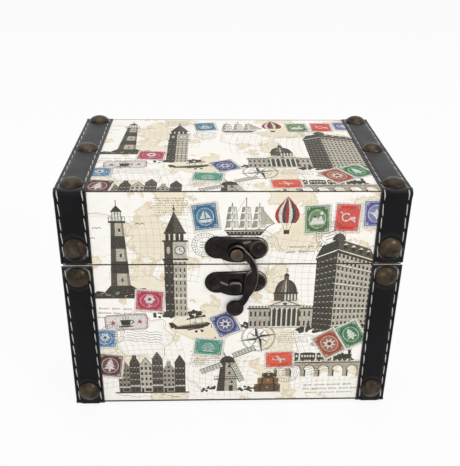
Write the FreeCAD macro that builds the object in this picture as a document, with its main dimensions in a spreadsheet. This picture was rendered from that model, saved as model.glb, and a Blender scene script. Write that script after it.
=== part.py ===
import FreeCAD, Part
import Sketcher
import math
import os
import re

# Keepsake chest in trunk style: a wooden box in two halves, covered with a printed sheet, with leather
# straps and domed studs at both ends, a swing latch in front and two butt hinges behind.
# Millimetres. The origin is on the floor under the middle of the chest, X right, -Y front, Z up.

SIZES = {
    # Box: width and depth over the coverings, heights from the floor to the rim and from the rim to the top
    "chest_width": 230,
    "chest_depth": 147.8,
    "base_height": 120.6,
    "seam_gap": 0.6,
    "lid_height": 53.9,
    "board_thickness": 6,
    "corner_rabbet": 3,
    "cover_thickness": 0.5,
    "lining_thickness": 0.6,
    "lining_drop": 1,
    # Straps, standing a little past the ends of the chest
    "strap_width": 21,
    "strap_overhang": 1.2,
    "strap_thickness": 1.8,
    "strap_corner_radius": 3,
    "strap_setback": 0.6,
    # Domed studs: places from the ends of the chest, the lid's front and back edges, the rims and the floor
    "stud_diameter": 15.8,
    "stud_height": 4.5,
    "stud_rim": 0.5,
    "stud_shank_diameter": 2,
    "stud_side_inset": 9.5,
    "stud_end_inset": 8.5,
    "lid_stud_rise": 12.8,
    "base_stud_drop": 9,
    "base_stud_foot": 13.5,
    # Nails of every kind reach this share of the board's thickness into the board
    "shank_bite_share": 0.7,
    "nail_clearance": 0.05,
    "tack_head_diameter": 4.4,
    "tack_head_height": 0.8,
    "tack_shank_diameter": 1.4,
    # Latch: an upper plate on the lid and a catch plate on the base, alike in outline
    "latch_shift": 2,
    "latch_rise": 12.4,
    "catch_drop": 13.5,
    "plate_length": 43,
    "plate_height": 16.6,
    "plate_thickness": 1.8,
    "plate_edge_radius": 0.9,
    "plate_bulge_width": 21,
    "plate_bulge_drop": 2.8,
    "dish_diameter": 10.4,
    "dish_depth": 0.8,
    "plate_tack_reach": 15.2,
    # Catch post, placed from the middle of its plate
    "post_width": 9.2,
    "post_height": 9.6,
    "post_proud": 5,
    "post_corner_radius": 2.6,
    "post_edge_radius": 1.1,
    "post_shift": -0.4,
    "post_drop": 2.9,
    # Hook and its rivet, whose pivot is placed from the middle of the upper plate
    "pivot_drop": 2.6,
    "hook_gap": 0.4,
    "hook_thickness": 2.6,
    "hook_eye_diameter": 13,
    "hook_reach": 15.2,
    "catch_clearance": 0.7,
    "knob_gap": 6,
    "knob_diameter": 12.3,
    "knob_thickness": 5.4,
    "knob_rim": 1.6,
    "knob_shift": -0.5,
    "rivet_diameter": 3,
    "rivet_head_diameter": 9,
    "rivet_head_height": 1.3,
    "rivet_play": 0.1,
    "running_clearance": 0.05,
    # Butt hinges: the axis lies behind the covering, level with the middle of the seam
    "hinge_spacing": 110,
    "hinge_length": 30,
    "hinge_leaf_height": 14,
    "hinge_leaf_thickness": 1.2,
    "hinge_knuckle_diameter": 4.8,
    "hinge_clearance": 0.3,
    "hinge_tack_reach": 9,
    "pin_diameter": 2.2,
    "pin_head_diameter": 3.6,
    "pin_head_thickness": 0.7,
    # Every cut runs past its far face by this much
    "cut_overrun": 1,
    # Hook outline, as shares of the eye, the reach, the drop from pivot to knob, the post and the knob
    "arm_root_share": 0.32,
    "elbow_drop_share": 0.42,
    "wrist_reach_share": 0.62,
    "wrist_drop_share": 0.786,
    "notch_reach_share": 0.63,
    "notch_drop_share": 0.298,
    "shoulder_radius_share": 0.685,
    "elbow_radius_share": 0.594,
    "wrist_radius_share": 0.4,
    "throat_radius_share": 0.19,
    "bump_radius_share": 0.29,
    "notch_radius_share": 0.17,
    "jaw_foot_share": 0.42,
    "jaw_head_share": 0.6,
    "arm_tip_share": 0.3,
    "throat_tip_share": 0.2,
}

DOC = FreeCAD.newDocument("KeepsakeChest")
SHEET = DOC.addObject("Spreadsheet::Sheet", "Sizes")
for row, (alias, size) in enumerate(SIZES.items(), start=1):
    SHEET.set(f"A{row}", alias)
    SHEET.set(f"B{row}", str(size))
    SHEET.setAlias(f"B{row}", alias)
DOC.recompute()

# Places worked out from the sizes, as expressions
HALF_WIDTH = "(chest_width / 2)"
HALF_DEPTH = "(chest_depth / 2)"
BOARD_X = f"({HALF_WIDTH} - cover_thickness)"
BOARD_Y = f"({HALF_DEPTH} - cover_thickness)"
INNER_X = f"({BOARD_X} - board_thickness)"
INNER_Y = f"({BOARD_Y} - board_thickness)"
BASE_FOOT = "(strap_thickness + cover_thickness)"
LID_RIM = "(base_height + seam_gap)"
LID_BOARD_TOP = "(lid_height - cover_thickness)"
LID_CEILING = f"({LID_BOARD_TOP} - board_thickness)"
STRAP_END = f"({HALF_WIDTH} + strap_overhang)"
STRAP_X = f"({STRAP_END} - strap_width)"
STRAP_Y = f"({HALF_DEPTH} + strap_thickness)"
STRAP_TOP = "(lid_height + strap_thickness)"
STUD_X = f"({HALF_WIDTH} - stud_side_inset)"
BOARD_BITE = "(board_thickness * shank_bite_share)"
STUD_BORE = "(stud_shank_diameter + 2 * nail_clearance)"
TACK_BORE = "(tack_shank_diameter + 2 * nail_clearance)"
RIVET_BORE = "(rivet_diameter + 2 * running_clearance)"
HOOK_BACK = "(plate_thickness + hook_gap)"
PIVOT_RISE = "(latch_rise - pivot_drop)"
POST_BELOW_PIVOT = f"({PIVOT_RISE} + seam_gap + catch_drop + post_drop)"
KNOB_BELOW_PIVOT = f"({POST_BELOW_PIVOT} + post_height / 2 + knob_gap + knob_diameter / 2)"
HINGE_STAND = "(hinge_knuckle_diameter / 2 + hinge_clearance)"
HINGE_TACK_OFFSET = f"({HINGE_STAND} + hinge_leaf_height / 2)"

FLOOR = ("0", "0", "0")
LID = ("0", "0", LID_RIM)
LATCH = ("latch_shift", f"-{HALF_DEPTH}", f"{LID_RIM} + latch_rise")
CATCH = ("latch_shift", f"-{HALF_DEPTH}", "base_height - catch_drop")
PIVOT = ("latch_shift", f"-{HALF_DEPTH}", f"{LID_RIM} + {PIVOT_RISE}")

# A face of the box: the origin plane that it is parallel to and the side of it
FRONT = ("XZ_Plane", 1)
BACK = ("XZ_Plane", -1)
RIGHT_END = ("YZ_Plane", 1)
LEFT_END = ("YZ_Plane", -1)
TOP = ("XY_Plane", 1)

KNUCKLE_COUNT = 3
LEFT_TURN = 1
RIGHT_TURN = -1
V = FreeCAD.Vector
UP = V(0, 0, 1)
OUTWARD = {FRONT: V(0, -1, 0), BACK: V(0, 1, 0), TOP: UP}
ALIASES = re.compile(r"\b(" + "|".join(SIZES) + r")\b")
NODES = []


def cells(text):
    """The expression with each size named as a cell of the sheet."""
    return ALIASES.sub(r"Sizes.\1", text)


def value(text):
    """What the expression comes to with the sizes in the sheet."""
    return float(SHEET.evalExpression(cells(text)))


def bind(target, name, text):
    """Ties a property to an expression of sizes."""
    target.setExpression(name, cells(text))


def place(target, at):
    """Ties a piece's position to three expressions."""
    for axis, text in zip("xyz", at):
        bind(target, f"Placement.Base.{axis}", text)


def new_body(label, at=FLOOR):
    """An empty body at a place."""
    body = DOC.addObject("PartDesign::Body", label)
    place(body, at)
    return body


def new_node(label, at=FLOOR):
    """An empty body that becomes a piece of the chest."""
    body = new_body(label, at)
    NODES.append(body)
    return body


def sketch_on(body, role, offset, shift=("0", "0")):
    """A sketch parallel to an origin plane of its body, moved along the plane's normal and in it."""
    sketch = body.newObject("Sketcher::SketchObject", "Sketch")
    plane = next(feature for feature in body.Origin.OriginFeatures if feature.Role == role)
    sketch.AttachmentSupport = [(plane, "")]
    sketch.MapMode = "FlatFace"
    for axis, text in zip("xyz", (*shift, offset)):
        bind(sketch, f"AttachmentOffset.Base.{axis}", text)
    return sketch


def hold(sketch, kind, refs, text):
    """A constraint of the sketch tied to an expression."""
    index = sketch.addConstraint(Sketcher.Constraint(kind, *refs, value(text)))
    bind(sketch, f"Constraints[{index}]", text)


def hold_point(sketch, edge, end, x, y):
    """Both coordinates of one point of an edge, measured from the sketch's origin."""
    hold(sketch, "DistanceX", (-1, 1, edge, end), x)
    hold(sketch, "DistanceY", (-1, 1, edge, end), y)


def arc_between(start, end, radius, turn):
    """The arc under a half circle from start to end that turns to the given side."""
    chord = end - start
    rise = math.sqrt(radius ** 2 - (chord.Length / 2) ** 2)
    side = V(-chord.y, chord.x, 0).normalize() * turn
    centre = (start + end) * 0.5 + side * rise
    first, last = (start, end) if turn == LEFT_TURN else (end, start)
    angles = [math.atan2(point.y - centre.y, point.x - centre.x) for point in (first, last)]
    if angles[1] < angles[0]:
        angles[1] += 2 * math.pi
    return Part.ArcOfCircle(Part.Circle(centre, UP, radius), *angles)


def outline(sketch, corners):
    """A closed outline. A corner (x, y) starts a straight edge, (x, y, radius, turn) starts an arc."""
    points = [V(value(corner[0]), value(corner[1]), 0) for corner in corners]
    edges = []
    for corner, start, end in zip(corners, points, points[1:] + points[:1]):
        if len(corner) == 2:
            edges.append((sketch.addGeometry(Part.LineSegment(start, end), False), 1, 2))
            continue
        radius, turn = corner[2:]
        arc = sketch.addGeometry(arc_between(start, end, value(radius), turn), False)
        hold(sketch, "Radius", (arc,), radius)
        edges.append((arc, 1, 2) if turn == LEFT_TURN else (arc, 2, 1))
    for corner, this, following in zip(corners, edges, edges[1:] + edges[:1]):
        sketch.addConstraint(Sketcher.Constraint("Coincident", this[0], this[2], following[0], following[1]))
        hold_point(sketch, this[0], this[1], *corner[:2])


def rectangle(sketch, low, high):
    """An upright rectangle between two corners."""
    outline(sketch, [low, (high[0], low[1]), high, (low[0], high[1])])


def circle(sketch, x, y, diameter):
    """A circle about a point."""
    edge = sketch.addGeometry(Part.Circle(V(value(x), value(y), 0), UP, value(diameter) / 2), False)
    hold(sketch, "Diameter", (edge,), diameter)
    hold_point(sketch, edge, 3, x, y)


def pad(body, sketch, length):
    """Extrudes a sketch along its normal."""
    feature = body.newObject("PartDesign::Pad", "Pad")
    feature.Profile = sketch
    bind(feature, "Length", length)
    return feature


def pocket(body, sketch, depth, along_normal=False):
    """Cuts a sketch into the body, against its normal unless told otherwise."""
    feature = body.newObject("PartDesign::Pocket", "Pocket")
    feature.Profile = sketch
    feature.Reversed = along_normal
    bind(feature, "Length", depth)
    return feature


def revolve(body, sketch):
    """Turns a sketch about its own vertical axis."""
    feature = body.newObject("PartDesign::Revolution", "Revolution")
    feature.Profile = sketch
    feature.ReferenceAxis = (sketch, ["V_Axis"])
    return feature


def round_front(body, radius):
    """Rounds the edges of the face that stands furthest to the front."""
    DOC.recompute()
    base = body.Tip
    faces = base.Shape.Faces
    front = min(range(len(faces)), key=lambda index: faces[index].CenterOfMass.y)
    feature = body.newObject("PartDesign::Fillet", "Fillet")
    feature.Base = (base, [f"Face{front + 1}"])
    bind(feature, "Radius", radius)


def slab(label, face, outer, thickness, low, high, at=FLOOR):
    """A flat sheet or board whose outer face lies that far out on the given face of the box."""
    role, side = face
    body = new_node(label, at)
    sketch = sketch_on(body, role, f"{outer} - {thickness}" if side > 0 else f"-{outer}")
    rectangle(sketch, low, high)
    pad(body, sketch, thickness)
    return body


def drill(body, face, outer, depth, holes):
    """Round holes (x, y, diameter) from the outer face of a piece inwards."""
    role, side = face
    sketch = sketch_on(body, role, f"{side} * {outer}")
    for hole in holes:
        circle(sketch, *hole)
    pocket(body, sketch, depth, along_normal=side < 0)


def strap_holes(heights):
    """Stud holes through a front or back face, the same on both straps."""
    return [(f"{end} * {STUD_X}", height, STUD_BORE) for end in (-1, 1) for height in heights]


def plate_holes(height):
    """Tack holes of a latch plate whose middle is at the given height."""
    return [(f"latch_shift + {side} * plate_tack_reach", height, TACK_BORE) for side in (-1, 1)]


def hinge_holes(height):
    """Tack holes of the two hinge leaves on one half of the box."""
    return [(f"{end} * hinge_spacing / 2 + {side} * hinge_tack_reach", height, TACK_BORE)
            for end in (-1, 1) for side in (-1, 1)]


BASE_STUD_HEIGHTS = ["base_stud_foot", "(base_height - base_stud_drop)"]
LID_STUD_HEIGHTS = ["lid_stud_rise"]
TOP_STUD_PLACES = [f"-({HALF_DEPTH} - stud_end_inset)", "0", f"({HALF_DEPTH} - stud_end_inset)"]
HOLES = {
    ("base", FRONT): strap_holes(BASE_STUD_HEIGHTS) + plate_holes("(base_height - catch_drop)"),
    ("base", BACK): strap_holes(BASE_STUD_HEIGHTS)
    + hinge_holes(f"(base_height + seam_gap / 2 - {HINGE_TACK_OFFSET})"),
    ("lid", FRONT): strap_holes(LID_STUD_HEIGHTS) + plate_holes("latch_rise")
    + [("latch_shift", PIVOT_RISE, RIVET_BORE)],
    ("lid", BACK): strap_holes(LID_STUD_HEIGHTS) + hinge_holes(f"({HINGE_TACK_OFFSET} - seam_gap / 2)"),
    ("lid", TOP): strap_holes(TOP_STUD_PLACES),
}


def long_board(half, name, face, low, high, at):
    """A front or back wall whose ends are rabbeted for the end walls."""
    side = -face[1]
    board = new_node(f"{half}_{name}_board", at)
    plan = sketch_on(board, "XY_Plane", low)
    steps = [(BOARD_X, BOARD_Y), (BOARD_X, f"({BOARD_Y} - corner_rabbet)"),
             (INNER_X, f"({BOARD_Y} - corner_rabbet)"), (INNER_X, INNER_Y)]
    right = [(x, f"{side} * {y}") for x, y in steps]
    left = [(f"-{x}", f"{side} * {y}") for x, y in reversed(steps)]
    outline(plan, right + left)
    pad(board, plan, f"{high} - {low}")
    drill(board, face, BOARD_Y, f"{BOARD_BITE} + nail_clearance", HOLES[half, face])


def walls(half, low, high, at):
    """The four walls of one half of the box."""
    long_board(half, "front", FRONT, low, high, at)
    long_board(half, "back", BACK, low, high, at)
    reach = f"({BOARD_Y} - corner_rabbet)"
    for name, face in (("left", LEFT_END), ("right", RIGHT_END)):
        slab(f"{half}_{name}_board", face, BOARD_X, "board_thickness",
             (f"-{reach}", low), (reach, high), at)


def wall_covers(half, low, high, at):
    """The sheets on the four walls of one half, the long ones over the edges of the short ones."""
    for name, face in (("front", FRONT), ("back", BACK)):
        cover = slab(f"{half}_{name}_cover", face, HALF_DEPTH, "cover_thickness",
                     (f"-{HALF_WIDTH}", low), (HALF_WIDTH, high), at)
        drill(cover, face, HALF_DEPTH, "cover_thickness + cut_overrun", HOLES[half, face])
    for name, face in (("left", LEFT_END), ("right", RIGHT_END)):
        slab(f"{half}_{name}_cover", face, HALF_WIDTH, "cover_thickness",
             (f"-{BOARD_Y}", low), (BOARD_Y, high), at)


def lining(half, low, high, open_upwards, at):
    """A thin tray against the inside of one half of the box."""
    tray = new_node(f"{half}_lining", at)
    block = sketch_on(tray, "XY_Plane", low)
    rectangle(block, (f"-{INNER_X}", f"-{INNER_Y}"), (INNER_X, INNER_Y))
    pad(tray, block, f"{high} - {low}")
    mouth = sketch_on(tray, "XY_Plane", high if open_upwards else low)
    x, y = (f"({inner} - lining_thickness)" for inner in (INNER_X, INNER_Y))
    rectangle(mouth, (f"-{x}", f"-{y}"), (x, y))
    pocket(tray, mouth, f"{high} - {low} - lining_thickness", along_normal=not open_upwards)


def box_base():
    """Walls, bottom, sheets and lining of the lower half."""
    walls("base", BASE_FOOT, "base_height", FLOOR)
    slab("base_bottom_board", TOP, f"({BASE_FOOT} + board_thickness)", "board_thickness",
         (f"-{INNER_X}", f"-{INNER_Y}"), (INNER_X, INNER_Y))
    wall_covers("base", "strap_thickness", "base_height", FLOOR)
    slab("base_bottom_cover", TOP, BASE_FOOT, "cover_thickness",
         (f"-{BOARD_X}", f"-{BOARD_Y}"), (BOARD_X, BOARD_Y))
    lining("base", f"({BASE_FOOT} + board_thickness)", "(base_height - lining_drop)", True, FLOOR)


def box_lid():
    """Walls, top, sheets and lining of the upper half."""
    walls("lid", "0", LID_CEILING, LID)
    top = slab("lid_top_board", TOP, LID_BOARD_TOP, "board_thickness",
               (f"-{BOARD_X}", f"-{BOARD_Y}"), (BOARD_X, BOARD_Y), LID)
    drill(top, TOP, LID_BOARD_TOP, f"{BOARD_BITE} + nail_clearance", HOLES["lid", TOP])
    wall_covers("lid", "0", LID_BOARD_TOP, LID)
    sheet = slab("lid_top_cover", TOP, "lid_height", "cover_thickness",
                 (f"-{HALF_WIDTH}", f"-{HALF_DEPTH}"), (HALF_WIDTH, HALF_DEPTH), LID)
    drill(sheet, TOP, "lid_height", "cover_thickness + cut_overrun", HOLES["lid", TOP])
    lining("lid", "lining_drop", LID_CEILING, False, LID)


def strap(half, end, at, level, leg, bend, heights):
    """A strap round one end of a half: two legs joined under the base or over the lid.

    level gives a height in the half's own frame for a distance from the strap's closed side.
    """
    name = "left" if end < 0 else "right"
    body = new_node(f"{half}_{name}_strap", at)
    profile = sketch_on(body, "YZ_Plane", STRAP_X if end > 0 else f"-{STRAP_END}")
    radius = "strap_corner_radius"
    outline(profile, [
        (f"-{STRAP_Y}", level(leg)),
        (f"-{STRAP_Y}", level(radius), radius, bend),
        (f"-({STRAP_Y} - {radius})", level("0")),
        (f"({STRAP_Y} - {radius})", level("0"), radius, bend),
        (STRAP_Y, level(radius)),
        (STRAP_Y, level(leg)),
        (HALF_DEPTH, level(leg)),
        (HALF_DEPTH, level("strap_thickness")),
        (f"-{HALF_DEPTH}", level("strap_thickness")),
        (f"-{HALF_DEPTH}", level(leg)),
    ])
    pad(body, profile, "strap_width")
    for face in (FRONT, BACK):
        drill(body, face, STRAP_Y, "strap_thickness + cut_overrun",
              [(f"{end} * {STUD_X}", height, STUD_BORE) for height in heights])
    return body


def straps():
    """The four straps."""
    for end in (-1, 1):
        strap("base", end, FLOOR, lambda text: text, "(base_height - strap_setback)", LEFT_TURN,
              BASE_STUD_HEIGHTS)
        over = strap("lid", end, LID, lambda text: f"({STRAP_TOP} - {text})",
                     f"({STRAP_TOP} - strap_setback)", RIGHT_TURN, LID_STUD_HEIGHTS)
        drill(over, TOP, STRAP_TOP, "strap_thickness + cut_overrun",
              [(f"{end} * {STUD_X}", place_y, STUD_BORE) for place_y in TOP_STUD_PLACES])


def dome_radius(width, height):
    """Radius of a dome from its width and its height."""
    return f"(({width}) ^ 2 / 4 + ({height}) ^ 2) / (2 * ({height}))"


def nail(label, head_diameter, rim, dome, shank_diameter, shank_length, under_head="0"):
    """A domed nail along Z, with its head's underside at the given height and a pointed shank below zero."""
    body = new_body(label)
    profile = sketch_on(body, "XZ_Plane", "0")
    outline(profile, [
        ("0", f"-({shank_length})"),
        (f"{shank_diameter} / 2", f"-({shank_length} - {shank_diameter} / 2)"),
        (f"{shank_diameter} / 2", under_head),
        (f"{head_diameter} / 2", under_head),
        (f"{head_diameter} / 2", f"{under_head} + {rim}", dome_radius(head_diameter, dome), LEFT_TURN),
        ("0", f"{under_head} + {rim} + {dome}"),
    ])
    revolve(body, profile)
    return body


def nail_group(label, master, spots):
    """Copies of one nail, each at (face, x, y, z), as one piece."""
    copies = []
    for face, *at in spots:
        copy = DOC.addObject("App::Link", f"{label}_copy")
        copy.LinkedObject = master
        copy.Placement = FreeCAD.Placement(V(), FreeCAD.Rotation(UP, OUTWARD[face]))
        place(copy, at)
        copies.append(copy)
    group = DOC.addObject("Part::Compound", label)
    group.Links = copies
    NODES.append(group)


def studs():
    """Domed studs on the straps, in one group for each strap."""
    master = nail("Stud", "stud_diameter", "stud_rim", "(stud_height - stud_rim)", "stud_shank_diameter",
                  f"strap_thickness + cover_thickness + {BOARD_BITE}")
    for end, name in ((-1, "left"), (1, "right")):
        x = f"{end} * {STUD_X}"
        base_spots = [(face, x, f"{-face[1]} * {STRAP_Y}", height)
                      for face in (FRONT, BACK) for height in BASE_STUD_HEIGHTS]
        nail_group(f"base_{name}_studs", master, base_spots)
        lid_spots = [(face, x, f"{-face[1]} * {STRAP_Y}", f"{LID_RIM} + {height}")
                     for face in (FRONT, BACK) for height in LID_STUD_HEIGHTS]
        lid_spots += [(TOP, x, y, f"{LID_RIM} + {STRAP_TOP}") for y in TOP_STUD_PLACES]
        nail_group(f"lid_{name}_studs", master, lid_spots)


def tacks():
    """Small round-headed tacks of the latch plates and of the hinges."""
    in_dish = "(plate_thickness - dish_depth)"
    rim = "tack_head_height / 2"
    latch_tack = nail("LatchTack", "tack_head_diameter", rim, rim, "tack_shank_diameter",
                      f"{in_dish} + cover_thickness + {BOARD_BITE}")
    for label, height in (("latch_tacks", LATCH[2]), ("catch_tacks", CATCH[2])):
        spots = [(FRONT, x, f"-({HALF_DEPTH} + {in_dish})", height) for x, _, _ in plate_holes(height)]
        nail_group(label, latch_tack, spots)
    hinge_tack = nail("HingeTack", "tack_head_diameter", rim, rim, "tack_shank_diameter",
                      f"hinge_leaf_thickness + cover_thickness + {BOARD_BITE}")
    axis = "(base_height + seam_gap / 2)"
    on_leaf = f"{HALF_DEPTH} + hinge_leaf_thickness"
    for half, side in (("base", "-"), ("lid", "+")):
        height = f"{axis} {side} {HINGE_TACK_OFFSET}"
        spots = [(BACK, x, on_leaf, height) for x, _, _ in hinge_holes(height)]
        nail_group(f"{half}_hinge_tacks", hinge_tack, spots)


def latch_plate(label, at):
    """A plate with round ends, a bulge below the middle and a dish at each end for a tack."""
    plate = new_node(label, at)
    form = sketch_on(plate, "XZ_Plane", "0")
    end = "plate_height / 2"
    tip = "plate_length / 2"
    straight = f"({tip} - {end})"
    bulge = dome_radius("plate_bulge_width", "plate_bulge_drop")
    outline(form, [
        (tip, "0", end, LEFT_TURN),
        (straight, end),
        (f"-{straight}", end, end, LEFT_TURN),
        (f"-{tip}", "0", end, LEFT_TURN),
        (f"-{straight}", f"-{end}"),
        ("-plate_bulge_width / 2", f"-{end}", bulge, LEFT_TURN),
        ("0", f"-({end} + plate_bulge_drop)", bulge, LEFT_TURN),
        ("plate_bulge_width / 2", f"-{end}"),
        (straight, f"-{end}", end, LEFT_TURN),
    ])
    pad(plate, form, "plate_thickness")
    round_front(plate, "plate_edge_radius")
    spots = [f"{side} * plate_tack_reach" for side in (-1, 1)]
    drill(plate, FRONT, "plate_thickness", "dish_depth", [(x, "0", "dish_diameter") for x in spots])
    drill(plate, FRONT, "plate_thickness", "plate_thickness + cut_overrun",
          [(x, "0", TACK_BORE) for x in spots])
    return plate


def catch_post(plate):
    """The post that the hook closes round, standing on the catch plate."""
    post = sketch_on(plate, "XZ_Plane", "0", ("post_shift", "-post_drop"))
    x, y, radius = "post_width / 2", "post_height / 2", "post_corner_radius"
    outline(post, [
        (x, f"-({y} - {radius})"),
        (x, f"({y} - {radius})", radius, LEFT_TURN),
        (f"({x} - {radius})", y),
        (f"-({x} - {radius})", y, radius, LEFT_TURN),
        (f"-{x}", f"({y} - {radius})"),
        (f"-{x}", f"-({y} - {radius})", radius, LEFT_TURN),
        (f"-({x} - {radius})", f"-{y}"),
        (f"({x} - {radius})", f"-{y}", radius, LEFT_TURN),
    ])
    pad(plate, post, "post_proud")
    round_front(plate, "post_edge_radius")


def latch_hook():
    """Eye, curved arm and knob in one casting, with its origin at the pivot."""
    hook = new_node("latch_hook", PIVOT)
    eye = sketch_on(hook, "XZ_Plane", HOOK_BACK)
    circle(eye, "0", "0", "hook_eye_diameter")
    pad(hook, eye, "hook_thickness")
    root = "hook_eye_diameter * arm_root_share"
    jaw = "(post_shift + post_width / 2 + catch_clearance)"
    drop = KNOB_BELOW_PIVOT
    arm = sketch_on(hook, "XZ_Plane", HOOK_BACK)
    outline(arm, [
        (root, root, f"{drop} * shoulder_radius_share", RIGHT_TURN),
        ("hook_reach", f"-{drop} * elbow_drop_share", f"{drop} * elbow_radius_share", RIGHT_TURN),
        ("hook_reach * wrist_reach_share", f"-{drop} * wrist_drop_share",
         f"{drop} * wrist_radius_share", RIGHT_TURN),
        ("knob_shift + knob_diameter * arm_tip_share", f"-{drop}"),
        ("knob_shift - knob_diameter * throat_tip_share", f"-{drop} + knob_diameter * arm_tip_share",
         f"{drop} * throat_radius_share", LEFT_TURN),
        (jaw, f"-({POST_BELOW_PIVOT} + post_height * jaw_foot_share)"),
        (jaw, f"-({POST_BELOW_PIVOT} - post_height * jaw_head_share)",
         f"{drop} * bump_radius_share", RIGHT_TURN),
        ("hook_reach * notch_reach_share", f"-{drop} * notch_drop_share",
         f"{drop} * notch_radius_share", LEFT_TURN),
        (root, f"-{root}"),
    ])
    pad(hook, arm, "hook_thickness")
    drill(hook, FRONT, f"({HOOK_BACK} + hook_thickness)", "hook_thickness + cut_overrun",
          [("0", "0", RIVET_BORE)])
    middle = f"({HOOK_BACK} + hook_thickness / 2)"
    knob = sketch_on(hook, "XY_Plane", f"-{drop}", ("knob_shift", f"-{middle}"))
    dome = "(knob_thickness - knob_rim) / 2"
    outline(knob, [
        ("0", "-knob_thickness / 2", dome_radius("knob_diameter", dome), LEFT_TURN),
        ("knob_diameter / 2", "-knob_rim / 2"),
        ("knob_diameter / 2", "knob_rim / 2", dome_radius("knob_diameter", dome), LEFT_TURN),
        ("0", "knob_thickness / 2"),
    ])
    revolve(hook, knob)


def latch():
    """Upper plate, catch plate with its post, hook and rivet."""
    plate = latch_plate("latch_plate", LATCH)
    drill(plate, FRONT, "plate_thickness", "plate_thickness + cut_overrun",
          [("0", "-pivot_drop", RIVET_BORE)])
    catch_post(latch_plate("catch_plate", CATCH))
    latch_hook()
    grip = f"({HOOK_BACK} + hook_thickness + rivet_play)"
    rivet = nail("LatchRivet", "rivet_head_diameter", "rivet_head_height / 2", "rivet_head_height / 2",
                 "rivet_diameter", f"cover_thickness + {BOARD_BITE}", grip)
    nail_group("latch_rivet", rivet, [(FRONT, *PIVOT)])


def hinge_leaf(label, at, upwards, spans):
    """A leaf with its knuckles on the given spans, its origin in the middle of the hinge's axis."""
    leaf = new_node(label, at)
    end = "hinge_length / 2"
    back = HINGE_STAND
    near, far = HINGE_STAND, f"({HINGE_STAND} + hinge_leaf_height)"
    plate = sketch_on(leaf, "XZ_Plane", f"{back} - hinge_leaf_thickness")
    rectangle(plate, (f"-{end}", f"{upwards} * {near}"), (end, f"{upwards} * {far}"))
    pad(leaf, plate, "hinge_leaf_thickness")
    tabs = sketch_on(leaf, "XZ_Plane", f"{back} - hinge_leaf_thickness")
    for low, high in spans:
        rectangle(tabs, (low, "0"), (high, f"{upwards} * {near}"))
    pad(leaf, tabs, "hinge_leaf_thickness")
    for low, high in spans:
        knuckle = sketch_on(leaf, "YZ_Plane", low)
        circle(knuckle, "0", "0", "hinge_knuckle_diameter")
        pad(leaf, knuckle, f"{high} - {low}")
    drill(leaf, RIGHT_END, end, "hinge_length", [("0", "0", "pin_diameter + 2 * running_clearance")])
    drill(leaf, BACK, f"(hinge_leaf_thickness - {back})", "hinge_leaf_thickness + cut_overrun",
          [(f"{side} * hinge_tack_reach", f"{upwards} * {HINGE_TACK_OFFSET}", TACK_BORE) for side in (-1, 1)])


def hinge_pin(label, at):
    """The pin along the hinge's axis, headed at both ends."""
    pin = new_node(label, at)
    head = "pin_head_diameter / 2"
    stem = "pin_diameter / 2"
    seat = "(hinge_length / 2 + running_clearance)"
    tip = f"({seat} + pin_head_thickness)"
    profile = sketch_on(pin, "XZ_Plane", "0")
    outline(profile, [
        ("0", f"-{tip}"), (head, f"-{tip}"), (head, f"-{seat}"), (stem, f"-{seat}"),
        (stem, seat), (head, seat), (head, tip), ("0", tip),
    ])
    revolve(pin, profile)
    pin.Placement = FreeCAD.Placement(V(), FreeCAD.Rotation(UP, V(1, 0, 0)))
    place(pin, at)


def hinges():
    """Two butt hinges: the lid's leaf has the middle knuckle, the base's leaf the two outer ones."""
    end = "hinge_length / 2"
    joint = f"hinge_length / (2 * {KNUCKLE_COUNT})"
    outer = [(f"-{end}", f"-({joint} + hinge_clearance / 2)"), (f"({joint} + hinge_clearance / 2)", end)]
    middle = [(f"-({joint} - hinge_clearance / 2)", f"({joint} - hinge_clearance / 2)")]
    for side, name in ((-1, "left"), (1, "right")):
        at = (f"{side} * hinge_spacing / 2", f"{HALF_DEPTH} + {HINGE_STAND}", "base_height + seam_gap / 2")
        hinge_leaf(f"{name}_hinge_base_leaf", at, -1, outer)
        hinge_leaf(f"{name}_hinge_lid_leaf", at, 1, middle)
        hinge_pin(f"{name}_hinge_pin", at)


def check_document():
    """Stops if a feature failed, a cut removed nothing or a piece has no valid shape."""
    for item in DOC.Objects:
        if "Invalid" in item.State or "Error" in item.State:
            raise RuntimeError(f"{item.Label} failed: {item.State}")
        if item.TypeId == "PartDesign::Pocket" and item.Shape.Volume >= item.BaseFeature.Shape.Volume:
            raise RuntimeError(f"a cut in {item.getParentGeoFeatureGroup().Label} removes nothing")
    for node in NODES:
        if node.Shape.isNull() or not node.Shape.isValid():
            raise RuntimeError(f"{node.Label} has no valid shape")


box_base()
box_lid()
straps()
studs()
tacks()
latch()
hinges()
DOC.recompute()
check_document()

os.makedirs("parts", exist_ok=True)
for node in NODES:
    node.Shape.exportStep(f"parts/{node.Label}.step")
print(f"{len(NODES)} pieces written")
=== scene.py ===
import math
import random

import bpy
import numpy as np
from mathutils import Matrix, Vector, noise
from mathutils.geometry import delaunay_2d_cdt


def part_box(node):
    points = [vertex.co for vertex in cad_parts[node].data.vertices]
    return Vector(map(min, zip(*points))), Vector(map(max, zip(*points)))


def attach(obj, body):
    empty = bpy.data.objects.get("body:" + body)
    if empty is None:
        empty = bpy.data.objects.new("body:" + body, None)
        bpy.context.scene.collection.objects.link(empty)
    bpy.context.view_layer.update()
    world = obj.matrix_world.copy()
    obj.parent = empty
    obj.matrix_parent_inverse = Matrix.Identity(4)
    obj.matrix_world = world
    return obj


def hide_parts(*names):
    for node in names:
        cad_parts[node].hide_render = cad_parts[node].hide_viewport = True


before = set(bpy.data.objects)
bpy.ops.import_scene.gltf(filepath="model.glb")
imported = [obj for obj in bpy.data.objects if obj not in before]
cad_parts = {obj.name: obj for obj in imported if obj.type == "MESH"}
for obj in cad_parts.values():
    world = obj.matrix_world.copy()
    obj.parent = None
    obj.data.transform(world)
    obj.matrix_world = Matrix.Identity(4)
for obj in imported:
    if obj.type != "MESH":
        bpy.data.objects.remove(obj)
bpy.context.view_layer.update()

MM = 0.001
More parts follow.
